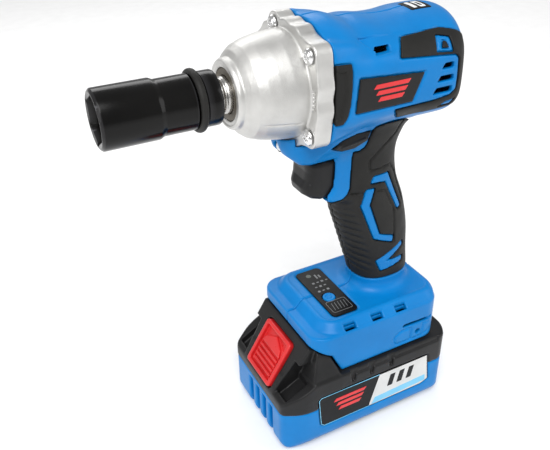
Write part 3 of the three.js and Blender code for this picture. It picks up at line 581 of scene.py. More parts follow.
def pad_zone(g, outline, inner):
    """Where a pad lies on the barrel: its outline, kept off the part nearer the middle than inner."""
    return np.maximum(polygon(g.x, flank_height(g, g.z - AXIS_Z), on_flank(outline)), inner - g.y)


def sunk(skin, zone, depth, gap=0.32):
    """The room that an inlaid pad takes: its outline with a gap round it, from the skin down."""
    return np.maximum(zone - gap, -(skin + depth))


def inlay(skin, zone, depth, proud, gap=0.26):
    return smax(smax(skin - proud, zone + gap, 0.7), -(skin + depth - 0.25), 0.3)


def screw_wells(g, side):
    """Counterbores for the housing screws, which go in from the right."""
    if side < 0:
        return None
    return np.minimum.reduce([np.maximum(np.hypot(g.x - at[0], g.z - at[2]) - 3.6, top - 2.5 - g.y)
                              for at, top in SCREWS])


def hook_relief(g, depth_from):
    """Engraved outline of the belt-hook seat on the foot's flank, with its screw hole."""
    outline = [(16.8, 57), (17.6, 60.5), (22.5, 63.6), (29.7, 63.4), (29.7, 54), (38.6, 54), (38.6, 63.4),
               (45.7, 63), (50.2, 60.4), (46.5, 56.4), (39.9, 54.9)]
    lines = np.minimum(path(g.x, g.z, outline), path(g.x, g.z, [(16.8, 57), (19, 53.9), (29.7, 53.9)])) - 0.55
    slot = segment(g.x, g.z, (24.3, 66.4), (44.2, 66.1)) - 1.2
    hole = np.hypot(g.x - 35.2, g.z - 58.4) - 1.8
    flank = depth_from - g.y
    return np.minimum.reduce([np.maximum(lines, flank - 1.1), np.maximum(slot, flank - 2),
                              np.maximum(hole, flank - 4)])


def rim_outline(g):
    """Outline of the housing's front rim, which the case's flange follows."""
    return smax(oval(g.y, g.z - AXIS_Z, BARREL_WIDE, BARREL_RISE[0]), np.abs(g.y) - FLAT_SIDE, 2)


def housing_openings(g, body, side):
    """Everything cut through or into the plastic shell."""
    radius = np.hypot(g.y, g.z - AXIS_Z)
    case_room = np.minimum(np.maximum(rim_outline(g) + 0.1, slab(g.x, -39.1, BODY_FRONT)),
                           np.maximum(radius - 27.6, g.x - BODY_FRONT))
    bore = np.maximum(radius - 24.9, slab(g.x, BODY_FRONT - 4, -24))
    cuts = [case_room, bore]
    for y, z in side_lugs(side):
        cuts.append(np.maximum(np.hypot(g.y - y, g.z - z) - 5.9, slab(g.x, -47, BODY_FRONT)))
    cuts.append(boxed(g, (-24, 6.4), (-5, 11.5), (155.2, 179.8)))
    cuts.append(np.maximum(polygon(g.x, g.z, LEVER_SLOT), 9 - g.y))
    cuts.append(np.maximum(np.hypot(g.y, g.z - 188.5) - 3.2, slab(g.x, -50, -30)))
    for x0, x1, z in VENT_ROWS:
        slit = polygon(g.x, g.z, [(x0, z - 1.5), (x1, z - 1.5), (x1 - 0.3, z + 1.5), (x0 + 1.8, z + 1.5)])
        cuts.append(np.maximum(slit, 20 - g.y))
    slit = polygon(g.x, g.z, [(-6.6, 237.2), (2.2, 237.6), (3.4, 240), (-5, 239.8)])
    cuts.append(np.maximum(slit, 18 - g.y))
    for x0, x1 in ((-18, -10.2), (1, 8.6), (18, 25.6)):
        cuts.append(boxed(g, (x0, x1), (29.3, 32.2), (66, 90)))
    cuts.append(np.maximum(rounded_box(g.x, g.y, ((PANEL_LOW[0] + PANEL_HIGH[0]) / 2, 0),
                                       ((PANEL_HIGH[0] - PANEL_LOW[0]) / 2 + 0.3, PANEL_HIGH[1] + 0.3), 3.3),
                           slab(g.z, DECK_Z - 1.2, DECK_Z + 5)))
    for tool in cuts:
        body = smax(body, -tool, 0.5)
    return body


def housing_hollow(g, skin):
    """The inside of the shell, open under the foot, with the battery's rails left standing."""
    hollow = np.maximum(skin + WALL, 60 - g.z)
    plan = rounded_box(g.x, g.y, (FOOT_MIDDLE, 0), (FOOT_LONG - 2.6, FOOT_HALF - 2.6), 9)
    below = np.maximum(plan, g.z - 74)
    rails = boxed(g, (-14, 46), (21.4, 33), (53, 59))
    return smin(hollow, np.maximum(below, -rails), 1.5)


def housing_side(side):
    """One half of the moulded housing with its grip, sampled together so that they fit."""
    step = 0.7
    g = Grid((-44, -1.4, 50), (60, 37.5, 254), step)
    barrel = barrel_field(g, side)
    handle = handle_field(g)
    skin = smin(smin(barrel, handle, 5), nose_field(g), 3.5)
    skin = smin(skin, foot_field(g), 7)
    grip = np.maximum(polygon(g.x, g.z, GRIP), 1.0 - barrel)
    windows = np.minimum.reduce([polygon(g.x, g.z, shape) for shape in CHEVRONS])
    windows = np.maximum(windows - 0.7, 4 - g.y)
    rubber = np.maximum(grip, -windows)
    wells = screw_wells(g, side)
    word = "left" if side < 0 else "right"

    body = smax(skin, -housing_hollow(g, skin), 0.8)
    posts = np.minimum.reduce([np.hypot(g.x - at[0], g.z - at[2]) - 4.4 for at, _ in SCREWS])
    body = np.minimum(body, np.maximum(skin + 0.6, posts))
    body = smax(body, -sunk(skin, rubber, 2), 0.4)
    wrap = np.maximum(pad_zone(g, BUMPER, -1), -badge_windows(g))
    for zone in (pad_zone(g, FRONT_PAD, 6), pad_zone(g, BADGE_PLATE, 6), wrap):
        body = smax(body, -sunk(barrel, np.maximum(zone, barrel - 2), 1.1), 0.4)
    body = housing_openings(g, body, side)
    body = smax(body, -hook_relief(g, FOOT_HALF), 0.4)
    if side < 0:
        bore = np.hypot(g.x - BUTTON_X, g.y + BUTTON_Y) - 4.3       # y is mirrored on this side
        body = smax(body, -np.maximum(bore, slab(g.z, 70, 90)), 0.4)
    if wells is not None:
        body = smax(body, -wells, 0.5)
    body = smax(body, SEAM - g.y, 0.35)
    add(mirrored(f"housing_shell_{word}", g, body, side), "housing", "blue_plastic", f"housing_{word}")

    reach = 6 + 0.34 * (125 - g.z)
    ribs = np.clip((reach - g.x) / 4, 0, 1)
    ribs = ribs * np.clip((148 - g.z) / 4, 0, 1) * np.clip((g.z - 98) / 4, 0, 1)
    bend = 0.3 * g.x + 0.012 * (g.x - 2) ** 2
    dips = 1 - np.abs(np.cos((g.z + bend) * (math.pi / 4.6)))
    sleeve = inlay(skin, rubber, 2, 0.35)
    sleeve = smax(sleeve, skin + 1.0 * ribs * dips ** 1.5 - 0.35, 0.2)
    for line in GRIP_LINES:
        sleeve = smax(sleeve, -np.maximum(path(g.x, g.z, line) - 0.5, -(skin + 0.75)), 0.3)
    sleeve = smax(sleeve, SEAM - g.y, 0.35)
    if wells is not None:
        sleeve = smax(sleeve, -wells, 0.5)
    add(mirrored(f"grip_sleeve_{word}", g, sleeve, side), "housing", "black_rubber", f"grip_{word}")


def side_pads(side):
    """The three pads inlaid in the barrel's flank, and the emblem on the middle one."""
    word = "left" if side < 0 else "right"
    g = Grid((-34, -1, 199), (60, 36, 246), 0.5)
    barrel = barrel_field(g, side)
    lugs = np.minimum.reduce([np.hypot(g.y - y, g.z - z) - 5.8 for y, z in side_lugs(side)])
    lugs = np.maximum(lugs, g.x + 12)
    front = np.maximum(pad_zone(g, FRONT_PAD, 6), BODY_FRONT + 0.1 - g.x)
    pad = inlay(barrel, front, 1.1, 0.3)
    window = polygon(g.x, g.z, [(-34, 234.2), (-24.4, 233.6), (-23.8, 224), (-26.4, 211.4), (-34, 211.4)])
    pad = smax(pad, -np.maximum(window, -(barrel + 0.35)), 0.4)
    pad = smax(pad, -lugs, 0.4)
    add(mirrored(f"front_side_pad_{word}", g, pad, side), "housing", "black_rubber", f"front_pad_{word}")

    plate = inlay(barrel, pad_zone(g, BADGE_PLATE, 6), 1.1, 0.1)
    add(mirrored(f"side_plate_{word}", g, plate, side), "housing", "black_plastic", f"badge_plate_{word}")

    zone = np.maximum(pad_zone(g, BUMPER, -1), -badge_windows(g))
    bumper = smax(inlay(barrel, zone, 1.1, 0.35), SEAM - g.y, 0.35)
    for x0, x1, z in VENT_ROWS:
        bumper = smax(bumper, -boxed(g, (x0, x1), (20, 40), (z - 1.2, z + 1.2)), 0.3)
    add(mirrored(f"rear_wrap_{word}", g, bumper, side), "housing", "black_rubber", f"rear_bumper_{word}")
    emblem(side, word)


def slanted_bar(start, long, z, half, lean):
    """Outline of a printed bar: its lower edge starts at start and its upper edge leans back."""
    return [(start, z - half), (start + long, z - half), (start + long + lean, z + half),
            (start + lean, z + half)]


def emblem(side, word):
    """Three slanted bars, a plain stand-in for the printed name on the side plate."""
    g = Grid((-16, 30.5, 211), (20, 33.2, 230), (0.25, 0.12, 0.25))
    bars = []
    for i, (long, z) in enumerate(((20, 223.6), (17, 220.4), (14, 217.2))):
        start = -9 + 1.4 * i
        bars.append(polygon(g.x, g.z, slanted_bar(start, long, z, 1.1, 1.6)))
    flat = np.maximum(np.minimum.reduce(bars), slab(g.y, FLAT_SIDE - 0.5, FLAT_SIDE + 0.22))
    add(mirrored(f"side_emblem_{word}", g, flat, side, 1), "housing", "label_print", finish=RED_INK)


# ---- hammer case and drive ----
CASE_FRONT, CASE_REAR = CASE_LOW[0], CASE_HIGH[0]
CASE_PROFILE = [(CASE_FRONT, 12.7), (CASE_FRONT, 14.6), (CASE_FRONT - 0.5, 15), (CASE_FRONT - 0.5, 16),
                (-69.4, 16.9), (-67.2, 17.1), (-66.8, 17.8), (-65.6, 19.8), (-62.4, 22.3),
                (-60.2, 23.1), (-58, 23.9), (-52.7, 25.1), (-46.2, 26.2), (-40.9, 26.6), (CASE_REAR, 26.9),
                (CASE_REAR, 22.7), (-52, 22.6), (-56.5, 19.5), (-58.2, 12.7)]
PARTING_ANGLES = (-154, -26)          # around the drive axis, from +Y upwards
NOTCH_ANGLES = (-188, -184, -180, -176, -172, -8, -4, 0, 4, 8)


def hammer_case():
    """Cast nose: a domed shell, a scalloped flange and four screw lugs faired into it."""
    step = 0.42
    g = Grid((CASE_FRONT - 1, -38, AXIS_Z - 38), (CASE_REAR + 0.8, 38, AXIS_Z + 38), step)
    up = g.z - AXIS_Z
    radius = np.hypot(g.y, up)
    angle = np.arctan2(up, g.y)
    shell = polygon(g.x, radius, CASE_PROFILE)
    edge = rim_outline(g) + 0.75 + 0.45 * np.cos(18 * angle)
    for y, z in LUGS:
        edge = smin(edge, np.hypot(g.y - y, g.z - z) - 5.6, 3)
    flange = smax(edge, slab(g.x, -38.8, CASE_REAR), 0.8)
    flange = np.maximum(flange, 22.7 - radius)
    body = smin(shell, flange, 1.0)
    for degrees in PARTING_ANGLES:
        turn = math.radians(degrees)
        off = np.abs(up * math.cos(turn) - g.y * math.sin(turn)) - 0.22
        ahead = -(g.y * math.cos(turn) + up * math.sin(turn))
        seam = np.maximum(np.maximum(off, ahead), np.maximum(-(body + 0.4), slab(g.x, -60, -42.5)))
        body = smax(body, -seam, 0.3)
    for degrees in NOTCH_ANGLES:
        turn = math.radians(degrees)
        off = np.abs(up * math.cos(turn) - g.y * math.sin(turn)) - 0.5
        notch = np.maximum(np.maximum(off, g.x + 37.8), slab(radius, 27.4, 29.8))
        body = smax(body, -notch, 0.4)
    for y, z in LUGS:
        off = np.hypot(g.y - y, g.z - z)
        seat = np.maximum(off - 4.4, slab(g.x, -48, -38.5))
        body = smax(body, -seat, 0.6)
        body = smax(body, -(off - 2.1), 0.2)
    body = np.maximum(body, -(np.maximum(radius - 22.6, slab(g.x, -52, CASE_REAR + 2))))
    add(solid("hammer_case_casting", g, body), "housing", "cast_aluminium", "hammer_case")


def case_screw(index, at):
    """Pan-head cross-recess screw, facing forward."""
    low, high = extent(f"case_screw_{index}")
    g = Grid((low[0] - 0.6, at[0] - 4.6, at[1] - 4.6), (high[0] + 0.5, at[0] + 4.6, at[1] + 4.6), 0.28)
    u, v = g.y - at[0], g.z - at[1]
    off = np.hypot(u, v)
    head = smax(np.sqrt((g.x - low[0] - 5.2) ** 2 + off ** 2) - 5.2, g.x - low[0] - 2.6, 0.4)
    head = smax(head, off - 3.9, 0.6)
    upright = np.maximum(np.abs(u) - 0.5, np.abs(v) - 2.1)
    cross = np.minimum(upright, np.maximum(np.abs(v) - 0.5, np.abs(u) - 2.1))
    head = smax(head, -np.maximum(cross, g.x - low[0] - 1.5), 0.25)
    shank = np.maximum(off - 1.8 - 0.15 * np.cos(g.x * 7), slab(g.x, low[0] + 2, high[0]))
    add(solid(f"case_screw_{index}_fine", g, np.minimum(head, shank)), "housing", "chrome",
        f"case_screw_{index}")


def polygon_radius(sides, flats, turn=0.0):
    """Radius of a regular polygon of that size across flats, as a function of the angle."""
    sector = 2 * math.pi / sides
    return lambda t: flats / 2 / math.cos((t - turn + sector / 2) % sector - sector / 2)


def ring_stack(name, rings, segments=96):
    """A closed tube along the drive axis through (x, radius or radius function) rings."""
    angles = [2 * math.pi * k / segments for k in range(segments)]
    points = []
    for x, r in rings:
        radii = [r(t) if callable(r) else r for t in angles]
        points += [(x, q * math.cos(t), AXIS_Z + q * math.sin(t)) for q, t in zip(radii, angles)]
    faces = []
    for i in range(len(rings)):
        j = (i + 1) % len(rings)
        for k in range(segments):
            m = (k + 1) % segments
            faces.append([i * segments + k, i * segments + m, j * segments + m, j * segments + k])
    return sharpen(tidy(new_piece(name, np.array(points), np.array(faces))))


def socket():
    """Impact socket with its hexagon, square and band groove, and the rubber band in the groove."""
    mouth, rear = SOCKET_LOW[0], SOCKET_HIGH[0]
    big = (SOCKET_HIGH[1] - SOCKET_LOW[1]) / 2
    neck = big - 1
    hexagon, square = polygon_radius(6, 19.0), polygon_radius(4, 13.3)
    wide_hexagon = polygon_radius(6, 20.6)
    rings = [
        (mouth, big - 1.5), (mouth + 0.25, big - 0.9), (mouth + 1.1, big - 0.08), (mouth + 1.6, big),
        (mouth + 13, big), (mouth + 26.4, big), (mouth + 27.1, big - 0.15), (mouth + 28.5, neck + 0.1),
        (mouth + 29.2, neck), (-89.5, neck), (-88.2, neck), (-87.9, neck - 0.3), (-87.7, 11.9),
        (-83.4, 11.9), (-83.2, neck - 0.3), (-82.9, neck), (-79, neck), (rear - 0.9, neck),
        (rear - 0.3, neck - 0.3), (rear, neck - 1), (rear, polygon_radius(4, 14.2)),
        (rear - 0.7, square), (-90, square), (-104.4, square), (-105, square),
        (-105.2, hexagon), (-118, hexagon), (mouth + 2.2, hexagon), (mouth + 0.5, wide_hexagon),
        (mouth, 12.3),
    ]
    add(ring_stack("impact_socket_body", rings), "output", "impact_steel", "impact_socket")
    centre, thick = -85.5, 1.5
    turns = [2 * math.pi * k / 14 for k in range(14)]
    rings = [(centre + thick * 1.25 * math.cos(t), 13.4 + thick * math.sin(t)) for t in turns]
    add(ring_stack("socket_ring_band", rings), "output", "black_rubber", "socket_ring")


def anvil():
    """Hardened output shaft: square drive, journal with a retaining groove, and the two anvil jaws."""
    low, high = extent("anvil")
    g = Grid(low - 0.8, high + 0.8, 0.4)
    up = g.z - AXIS_Z
    radius = np.hypot(g.y, up)
    square = smax(np.maximum(np.abs(g.y), np.abs(up)) - 6.35, slab(g.x, low[0], -73), 0.8)
    square = smax(square, radius - 8.4, 0.8)
    groove = 0.9 * np.exp(-((g.x + 72.9) / 0.9) ** 2)
    journal = smax(radius - 9 + groove, slab(g.x, -74.6, -52), 0.8)
    disc = smax(radius - 13, slab(g.x, -52.2, high[0]), 0.8)
    jaws = smax(np.maximum(np.abs(g.y) - 5, np.abs(up) - 19), slab(g.x, -52.2, high[0]), 0.8)
    body = np.minimum.reduce([square, journal, disc, jaws])
    body = smax(body, -np.maximum(radius - 4.35, -56 - g.x), 0.3)
    add(solid("anvil_shaft", g, body), "output", "steel", "anvil")


def nose_bushing():
    rings = [(CASE_FRONT + 0.3, 9.35), (CASE_FRONT + 0.3, 12.2), (CASE_FRONT + 0.6, 12.5), (-58.7, 12.5),
             (-58.6, 9.5), (-59, 9.3), (CASE_FRONT + 1, 9.3)]
    add(ring_stack("nose_bushing_sleeve", rings), "housing", "bronze", "nose_bushing")


# ---- controls ----
def trigger():
    low, high = extent("trigger")
    g = Grid(low - 1, high + 1, 0.42)
    face = [(-31, 179.4), (-30, 173.4), (-30.6, 168.6), (-32.6, 164.2), (-31.8, 160.4), (-27.6, 157.5),
            (-22.5, 155.9), (-18, 156.6), (-13, 158.8), (-12.6, 179.4)]
    width = curve(g.x, (-35, -32.5, -29, -23), (4.4, 7.6, 9.9, 10.8))
    body = smax(polygon(g.x, g.z, face), (np.abs(g.y) - width) * 0.85, 4)
    body = np.maximum(body, g.z - 179.3)
    slider = boxed(g, (-16, high[0]), (-10.2, 10.2), (158.8, 177.8))
    add(solid("trigger_blade", g, smin(body, slider, 0.8)), "trigger", "black_plastic", "trigger")


def direction_lever():
    """Forward and reverse slider: an almond-shaped bar through the housing, with a finger ridge."""
    low, high = extent("direction_lever")
    g = Grid((-24, low[1] - 0.6, 185), (2.4, high[1] + 0.6, 198), 0.34)
    almond = polygon(g.x, g.z, LEVER_SLOT) + 0.55
    ends = np.abs(g.y) - high[1] + 0.25 * np.abs(g.z - 191.8)
    bar = smax(almond, ends, 1.0)
    ridge = segment(g.x, g.z, (-17.5, 190.6), (-4, 192.6)) - 0.5
    ridge = np.maximum(ridge, np.abs(np.abs(g.y) - high[1]) - 0.35)
    add(solid("direction_slider", g, smin(bar, ridge, 0.5)), "direction", "black_plastic", "direction_lever")


def led_lens():
    low, high = extent("led_lens")
    middle = (low + high) / 2
    g = Grid(low - 0.8, high + 0.8, 0.3)
    off = np.hypot(g.y, g.z - middle[2])
    dome = np.sqrt((g.x - low[0] - 3.4) ** 2 + off ** 2) - 3.4
    lens = smax(smax(dome, off - 2.6, 0.4), g.x - high[0], 0.4)
    rim = smax(np.abs(off - 2.72) - 0.2, slab(g.x, low[0] + 0.9, high[0]), 0.15)
    add(solid("work_light_lens", g, lens), "housing", "clear_lens", "led_lens")
    add(solid("work_light_rim", g, rim), "housing", "black_plastic")


def plan_piece(name, g, flat, z, body, slot, finish=None, soft=0.05):
    return add(solid(name, g, smax(flat, slab(g.z, *z), soft), 1), body, slot, finish=finish)


def foot_panel():
    """The dark overlay on the foot's deck with its button and small printed marks."""
    low, high = PANEL_LOW, PANEL_HIGH
    g = Grid((low[0] - 0.6, low[1] - 0.6, DECK_Z - 1.3), (high[0] + 0.6, high[1] + 0.6, DECK_Z + 0.6),
             (0.3, 0.3, 0.12))
    middle = ((low[0] + high[0]) / 2, 0)
    half = ((high[0] - low[0]) / 2, high[1])
    sheet = rounded_box(g.x, g.y, middle, half, 3)
    spot = np.hypot(g.x - BUTTON_X, g.y - BUTTON_Y)
    body = smax(smax(sheet, slab(g.z, DECK_Z - 0.9, DECK_Z), 0.3), 4.2 - spot, 0.3)
    add(solid("foot_overlay", g, body, 1), "housing", "black_plastic", "panel_overlay", finish=DARK_INK)

    top = (DECK_Z - 0.2, DECK_Z + 0.08)
    g = Grid((low[0], low[1], DECK_Z - 0.4), (high[0], high[1], DECK_Z + 0.3), (0.16, 0.16, 0.08))
    frame_box = rounded_box(g.x, g.y, (-11.8, -15.4), (6.6, 5.2), 1.4)
    lines = [np.abs(frame_box) - 0.16]
    for i in range(5):
        x = -16.2 + 2.1 * i
        lines.append(segment(g.x, g.y, (x, -18.6), (x + 0.9, -12.2)) - 0.17)
    for row, (y, count) in enumerate(((1.2, 3), (5.6, 3), (9.8, 4))):
        for k in range(count):
            at = (-15.5 + 3.1 * k + 0.4 * row, y)
            lines.append(rounded_box(g.x, g.y, at, (0.85, 0.5 if (k + row) % 2 else 0.85), 0.3))
    lines.append(rounded_box(g.x, g.y, (-9.6, 15.4), (0.6, 2.2), 0.3))
    lines.append(rounded_box(g.x, g.y, (-7.4, 15.0), (0.6, 1.5), 0.3))
    plan_piece("foot_overlay_marks", g, np.minimum.reduce(lines), top, "housing", "label_print", PALE_INK)
    lamp = np.hypot(g.x + 13.6, g.y - 17.8) - 1.7
    plan_piece("foot_overlay_lamp", g, lamp, top, "housing", "label_print", LAMP_INK)

    low, high = extent("mode_button")
    g = Grid(low - (0.6, 0.6, 0), high + (0.6, 0.6, 0.6), 0.25)
    spot = np.hypot(g.x - BUTTON_X, g.y - BUTTON_Y)
    cap = smax(spot - 3.85, slab(g.z, low[2], high[2]), 1.0)
    dish = np.sqrt(spot ** 2 + (g.z - high[2] - 9.6) ** 2) - 10
    ring = np.maximum(np.abs(spot - 1.6) - 0.22, high[2] - 0.6 - g.z)
    cap = smax(smax(cap, -dish, 0.4), -ring, 0.2)
    add(solid("foot_button", g, cap), "mode", "blue_plastic", "mode_button")


def top_marker():
    """A small dark tile with two pale bars on the barrel's top, in place of a printed sticker."""
    g = Grid((26, -11, 243), (44, 7, 251.5), 0.3)
    barrel = barrel_field(g, -1)
    tile = rounded_box(g.x, g.y, (35, -2.2), (6.4, 6.2), 1)
    body = smax(smax(barrel - 0.25, tile, 0.3), -(barrel + 0.5), 0.2)
    add(solid("top_tile", g, body, 1), "housing", "black_plastic", finish=DARK_INK)
    bars = np.minimum(rounded_box(g.x, g.y, (32.4, -2.2), (1.3, 4.6), 0.4),
                      rounded_box(g.x, g.y, (37.2, -2.2), (1.9, 4.6), 0.4))
    notch = rounded_box(g.x, g.y, (37.2, -2.2), (0.7, 2.6), 0.2)
    marks = smax(np.maximum(bars, -notch), barrel - 0.38, 0.1)
    marks = smax(marks, -(barrel + 0.1), 0.1)
    add(solid("top_tile_marks", g, marks, 1), "housing", "label_print", finish=WHITE_INK)


# ---- battery ----
FACE_LOW, FACE_HIGH = np.array((-60.3, 38.0)), np.array((-39.8, 71.2))
FACE_LENGTH = float(np.hypot(*(FACE_HIGH - FACE_LOW)))
FACE_ALONG = (FACE_HIGH - FACE_LOW) / FACE_LENGTH
BUTTON_MIDDLE, BUTTON_REACH = 16.7, 15.7      # latch button up the slanted face: middle and half length
PACK_TOP = 50.4
RAIL_TOP = 68.0


def pack_plan(g, inset=0.0):
    """The battery's outline seen from above, or a sharper one set in from it."""
    end, half = PACK_END - inset, PACK_HALF - inset
    if inset:
        outline = [(-end, 0), (-end, half - PLAN_CHAMFER), (-end + PLAN_CHAMFER_LONG, half), (end - 6, half),
                   (end, half - 9), (end, 0)]
        mirror = [(x, -y) for x, y in reversed(outline[1:-1])]
        return polygon(g.x, g.y, outline + mirror)
    block = smax(slab(g.x, -end, end), np.abs(g.y) - half, 1.5)
    front = corner(g, -end, half, PLAN_CHAMFER_LONG, PLAN_CHAMFER)
    return smax(block, np.maximum(front, corner(g, end, half, -6, 9)), 3)


def corner(g, end, half, along, across):
    """Distance outside the chamfer of a pair of corners of the pack."""
    length = math.hypot(along, across)
    direction = 1 if along > 0 else -1
    depth = (g.x - end) * direction * across + (half - np.abs(g.y)) * abs(along)
    return (across * abs(along) - depth) / length


LABEL_OUTLINE = [(-36.6, 16), (-38.4, 36.8), (-36.4, 39.1), (43, 38.6), (46, 16), (39.7, 13.5), (-34, 13.5)]


def label_zone(g):
    return polygon(g.x, g.z, LABEL_OUTLINE)


def face_coordinates(g):
    """How far up the slanted face, and how far out of it, a point is."""
    u = (g.x - FACE_LOW[0]) * FACE_ALONG[0] + (g.z - FACE_LOW[1]) * FACE_ALONG[1]
    out = -(g.x - FACE_LOW[0]) * FACE_ALONG[1] + (g.z - FACE_LOW[1]) * FACE_ALONG[0]
    return u, out


def battery_lower():
    g = Grid((-61.2, -38.4, -0.8), (61.2, 38.4, PACK_SPLIT + 0.6), 0.66)
    side = np.abs(g.y)
    shell = smax(pack_plan(g), slab(g.z, 0, PACK_SPLIT - 0.2), 1.2)
    shell = smax(shell, (side - PACK_HALF + 5 - g.z) * 0.707, 3)
    shell = smax(shell, (-g.x - PACK_END + 3.6 - g.z) * 0.707, 3)
    shell = smax(shell, (g.x - PACK_END + 3 - g.z) * 0.707, 3)
    grooves = np.minimum.reduce([np.abs(g.y - y) - 2.3 for y in (-17, -8, 1, 10)])
    grooves = np.maximum(grooves, np.maximum(g.x + PACK_END - 3.4, g.z - 26))
    shell = smax(shell, -grooves, 1.2)
    scoops = np.minimum.reduce([np.hypot(np.maximum(np.abs(g.x - x) - 5, 0), g.z + 0.6) - 3.2
                                for x in (-6, 12, 30)])
    shell = smax(shell, -np.maximum(scoops, PACK_HALF - 5.5 - side), 1.5)
    hollow = np.maximum(np.maximum(pack_plan(g, 2.5), 2.5 - g.z), -g.x - PACK_END + 5.6)
    shell = smax(shell, -hollow, 0.6)
    pocket = np.maximum(label_zone(g) - 0.3, PACK_HALF - LABEL_DEPTH - side)
    shell = smax(shell, -pocket, 0.4)
    add(solid("battery_base_shell", g, shell), "battery", "blue_plastic", "battery_lower_case")


def finger_recess(g):
    """What is cut from both front corners: a sloped shoulder with a pocket inside its rim."""
    side = np.abs(g.y)
    panel_edge = np.where(g.z > 60.5, 28, 19.7 + 0.12 * (g.z - 38))
    shoulder = (g.z - 38.2 - 0.58 * (g.x + 60.3)) * 0.865
    cheek = np.maximum(panel_edge - side, g.x + 40.6 - 0.25 * (g.z - 50))
    cut = smax(-shoulder, cheek, 0.6)
    pocket = np.maximum(np.maximum(-(shoulder + 4.4), panel_edge - side), side - 31)
    pocket = np.maximum(pocket, np.maximum(g.x + 42, -56.6 - g.x))
    return np.minimum(cut, pocket)


def battery_upper():
    g = Grid((-61.2, -38.4, PACK_SPLIT - 0.9), (61.2, 38.4, 73.4), 0.62)
    side = np.abs(g.y)
    u, out = face_coordinates(g)
    low = smax(pack_plan(g), slab(g.z, PACK_SPLIT, PACK_TOP), 1.6)
    wedge_side = [(-60.3, PACK_SPLIT), tuple(FACE_LOW), tuple(FACE_HIGH), (-27.5, 64.2),
                  (-20.8, PACK_TOP - 2), (-20.8, PACK_SPLIT)]
    wedge = smax(polygon(g.x, g.z, wedge_side), pack_plan(g), 1.4)
    wedge = smax(wedge, (side - PACK_HALF) * 0.96 + (g.z - 46) * 0.25, 2)
    body = smin(low, wedge, 1.0)
    body = smax(body, out, 1.6)
    body = smax(body, -finger_recess(g), 0.9)
    neck = boxed(g, (-26, 47), (-20.8, 20.8), (PACK_TOP - 2, 62))
    rail_side = [(-20, 40), (47, 40), (47, 80), (-34, 80), (-27, 60)]
    rail = smax(boxed(g, (-30, 47), (-24, 24), (59.6, RAIL_TOP)), polygon(g.x, g.z, rail_side), 0.5)
    body = np.minimum(body, np.minimum(neck, rail))
    for x in (-13.5, -0.5, 14):
        notch = np.abs(g.x - x) - 1.1 - 0.12 * (g.z - 42)
        notch = np.maximum(notch, np.maximum(41.8 - g.z, PACK_HALF - 1.6 - side))
        body = smax(body, -notch, 0.6)
    ledge = np.maximum(slab(g.x, -15, 50), np.maximum(46.8 - g.z, 36.4 - side))
    body = smax(body, -np.maximum(ledge, side - 40), 0.8)
    hollow = np.maximum(pack_plan(g, 2.6), g.z - PACK_TOP + 2.5)
    hollow = np.maximum(hollow, -38 - g.x)
    front_hollow = np.maximum(np.maximum(pack_plan(g, 2.6), g.z - 38), -44 - g.x)
    front_hollow = np.maximum(front_hollow, side - 20)
    rail_hollow = boxed(g, (-15, 43), (-17.5, 17.5), (40, RAIL_TOP - 2.5))
    hollow = np.minimum.reduce([np.maximum(hollow, -22 - g.x), front_hollow, rail_hollow])
    body = smax(body, -hollow, 0.6)
    slots = np.minimum.reduce([np.abs(g.y - y) for y in (-12, 0, 12)]) - 1.3
    body = smax(body, -np.maximum(slots, np.maximum(19 - g.x, 58 - g.z)), 0.4)
    well = np.maximum(rounded_box(u, g.y, (BUTTON_MIDDLE, 0), (BUTTON_REACH + 0.7, 15.6), 2.4), -9 - out)
    body = smax(body, -well, 0.7)
    pocket = np.maximum(label_zone(g) - 0.3, PACK_HALF - LABEL_DEPTH - side)
    body = smax(body, -pocket, 0.4)
    add(solid("battery_top_shell", g, body), "battery", "black_plastic", "battery_upper_case")


def face_place(points):
    """From (up the face, y, out of the face) to the frame."""
    x = FACE_LOW[0] + points[:, 0] * FACE_ALONG[0] - points[:, 2] * FACE_ALONG[1]
    z = FACE_LOW[1] + points[:, 0] * FACE_ALONG[1] + points[:, 2] * FACE_ALONG[0]
    return np.stack([x, points[:, 1], z], 1)


def release_button():
    """Red latch button, sampled in the slanted face's own coordinates."""
    low, high = BUTTON_MIDDLE - BUTTON_REACH, BUTTON_MIDDLE + BUTTON_REACH
    g = Grid((low - 1, -15.8, -5.4), (high + 1, 15.8, 2.4), 0.34)
    u, out = g.x, g.z
    middle, half = ((low + high) / 2, 0), ((high - low) / 2, 14.8)
    body = smax(rounded_box(u, g.y, middle, half, 2.2), slab(out, -4.6, 1.4), 1.0)
    inner = smax(rounded_box(u, g.y, middle, (half[0] - 2.6, half[1] - 2.6), 1.2), -1.4 - out, 0.4)
    body = smax(body, -inner, 0.6)
    bars = [np.maximum(np.maximum(np.abs(u - low - 5.4 - 3.3 * i) - 0.75, np.abs(g.y) - 10.6), out - 0.6)
            for i in range(4)]
    arrow = polygon(u, g.y, [(high - 13.4, -10.4), (high - 13.4, 10.4), (high - 9, 8.4), (high - 4.4, 0),
                             (high - 9, -8.4)])
    bars.append(np.maximum(arrow, out - 0.6))
    raised = np.maximum(np.minimum.reduce(bars), -3 - out)
    body = smin(body, raised, 0.5)
    add(solid("release_latch_button", g, body, 2, face_place), "release", "red_plastic", "release_button")


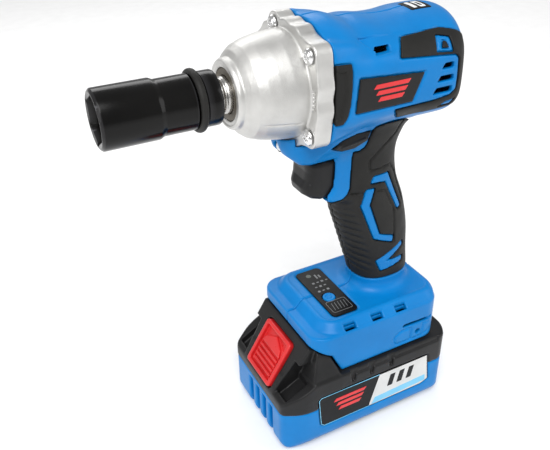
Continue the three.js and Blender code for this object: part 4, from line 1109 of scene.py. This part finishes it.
def battery_label(side):
    """A printed plate: dark front part, silver rear part and a sky-blue strip, without words."""
    word = "left" if side < 0 else "right"
    high = PACK_HALF
    step = ((0.36, 0.1, 0.36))
    g = Grid((-39.5, high - 1.1, 12.4), (47.5, high + 0.4, 40.4), step)
    zone = label_zone(g)
    base = smax(zone + 0.2, slab(g.y, high - 0.85, high - 0.12), 0.15)
    add(mirrored(f"battery_plate_{word}", g, base, side, 1), "battery", "label_print",
        f"battery_label_{word}", finish=DARK_INK)
    split = polygon(g.x, g.z, [(6.2, 39.6), (-0.6, 16), (-0.8, 12), (50, 12), (50, 40)])
    silver = smax(np.maximum(zone + 0.9, split), slab(g.y, high - 0.3, high), 0.05)
    add(mirrored(f"battery_plate_silver_{word}", g, silver, side, 1), "battery", "label_print")
    line = np.maximum(np.abs(zone + 0.75) - 0.24, -split - 0.3)
    strip = polygon(g.x, g.z, [(0.6, 14.6), (43, 16.2), (42.6, 21.4), (3.2, 20)])
    strip = np.maximum(strip, zone + 0.9)
    sky = np.maximum(np.minimum(line, strip), slab(g.y, high - 0.3, high + 0.08))
    add(mirrored(f"battery_plate_sky_{word}", g, sky, side, 1), "battery", "label_print", finish=SKY_INK)
    bars = []
    for i in range(3):
        x = 12 + 7.2 * i
        bars.append(polygon(g.x, g.z, [(x, 25), (x + 4.2, 25), (x + 6.2, 34.6), (x + 2, 34.6)]))
    bars = np.maximum(np.minimum.reduce(bars), slab(g.y, high - 0.3, high + 0.08))
    add(mirrored(f"battery_plate_bars_{word}", g, bars, side, 1), "battery", "label_print", finish=DARK_INK)
    marks = []
    for i, (long, z) in enumerate(((22, 31.8), (18.6, 27.8), (15.2, 23.8))):
        start = -27.5 + 1.8 * i
        marks.append(polygon(g.x, g.z, slanted_bar(start, long, z, 1.3, 1.8)))
    marks = np.maximum(np.minimum.reduce(marks), slab(g.y, high - 0.3, high + 0.02))
    add(mirrored(f"battery_plate_marks_{word}", g, marks, side, 1), "battery", "label_print",
        finish=RED_INK)


# ---- the pieces inside, in their CAD shapes ----
def finish_cad_nodes():
    """Gives each CAD node the procedural finish of its material slot."""
    for row in frame["record"]["subparts"]:
        piece = frame["nodes"][row["node"]]
        piece.data.materials.clear()
        piece.data.materials.append(FINISHES[row["material_slot"]])


def coil(cad_node, body):
    """A coil spring in its CAD shape, as a copy that rides on its body."""
    piece = bpy.data.objects.new(f"{cad_node}_coil", frame["nodes"][cad_node].data.copy())
    bpy.context.scene.collection.objects.link(piece)
    add(piece, body, "spring_steel", cad_node)
    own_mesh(piece)


camera()
studio()
finish_cad_nodes()
coil("hammer_spring", "carrier")
coil("trigger_spring", "housing")
coil("release_spring", "battery")
for each_side in SIDES.values():
    housing_side(each_side)
    side_pads(each_side)
    battery_label(each_side)
hammer_case()
for number, lug in enumerate(LUGS, 1):
    case_screw(number, lug)
socket()
anvil()
nose_bushing()
trigger()
direction_lever()
led_lens()
foot_panel()
top_marker()
battery_lower()
battery_upper()
release_button()
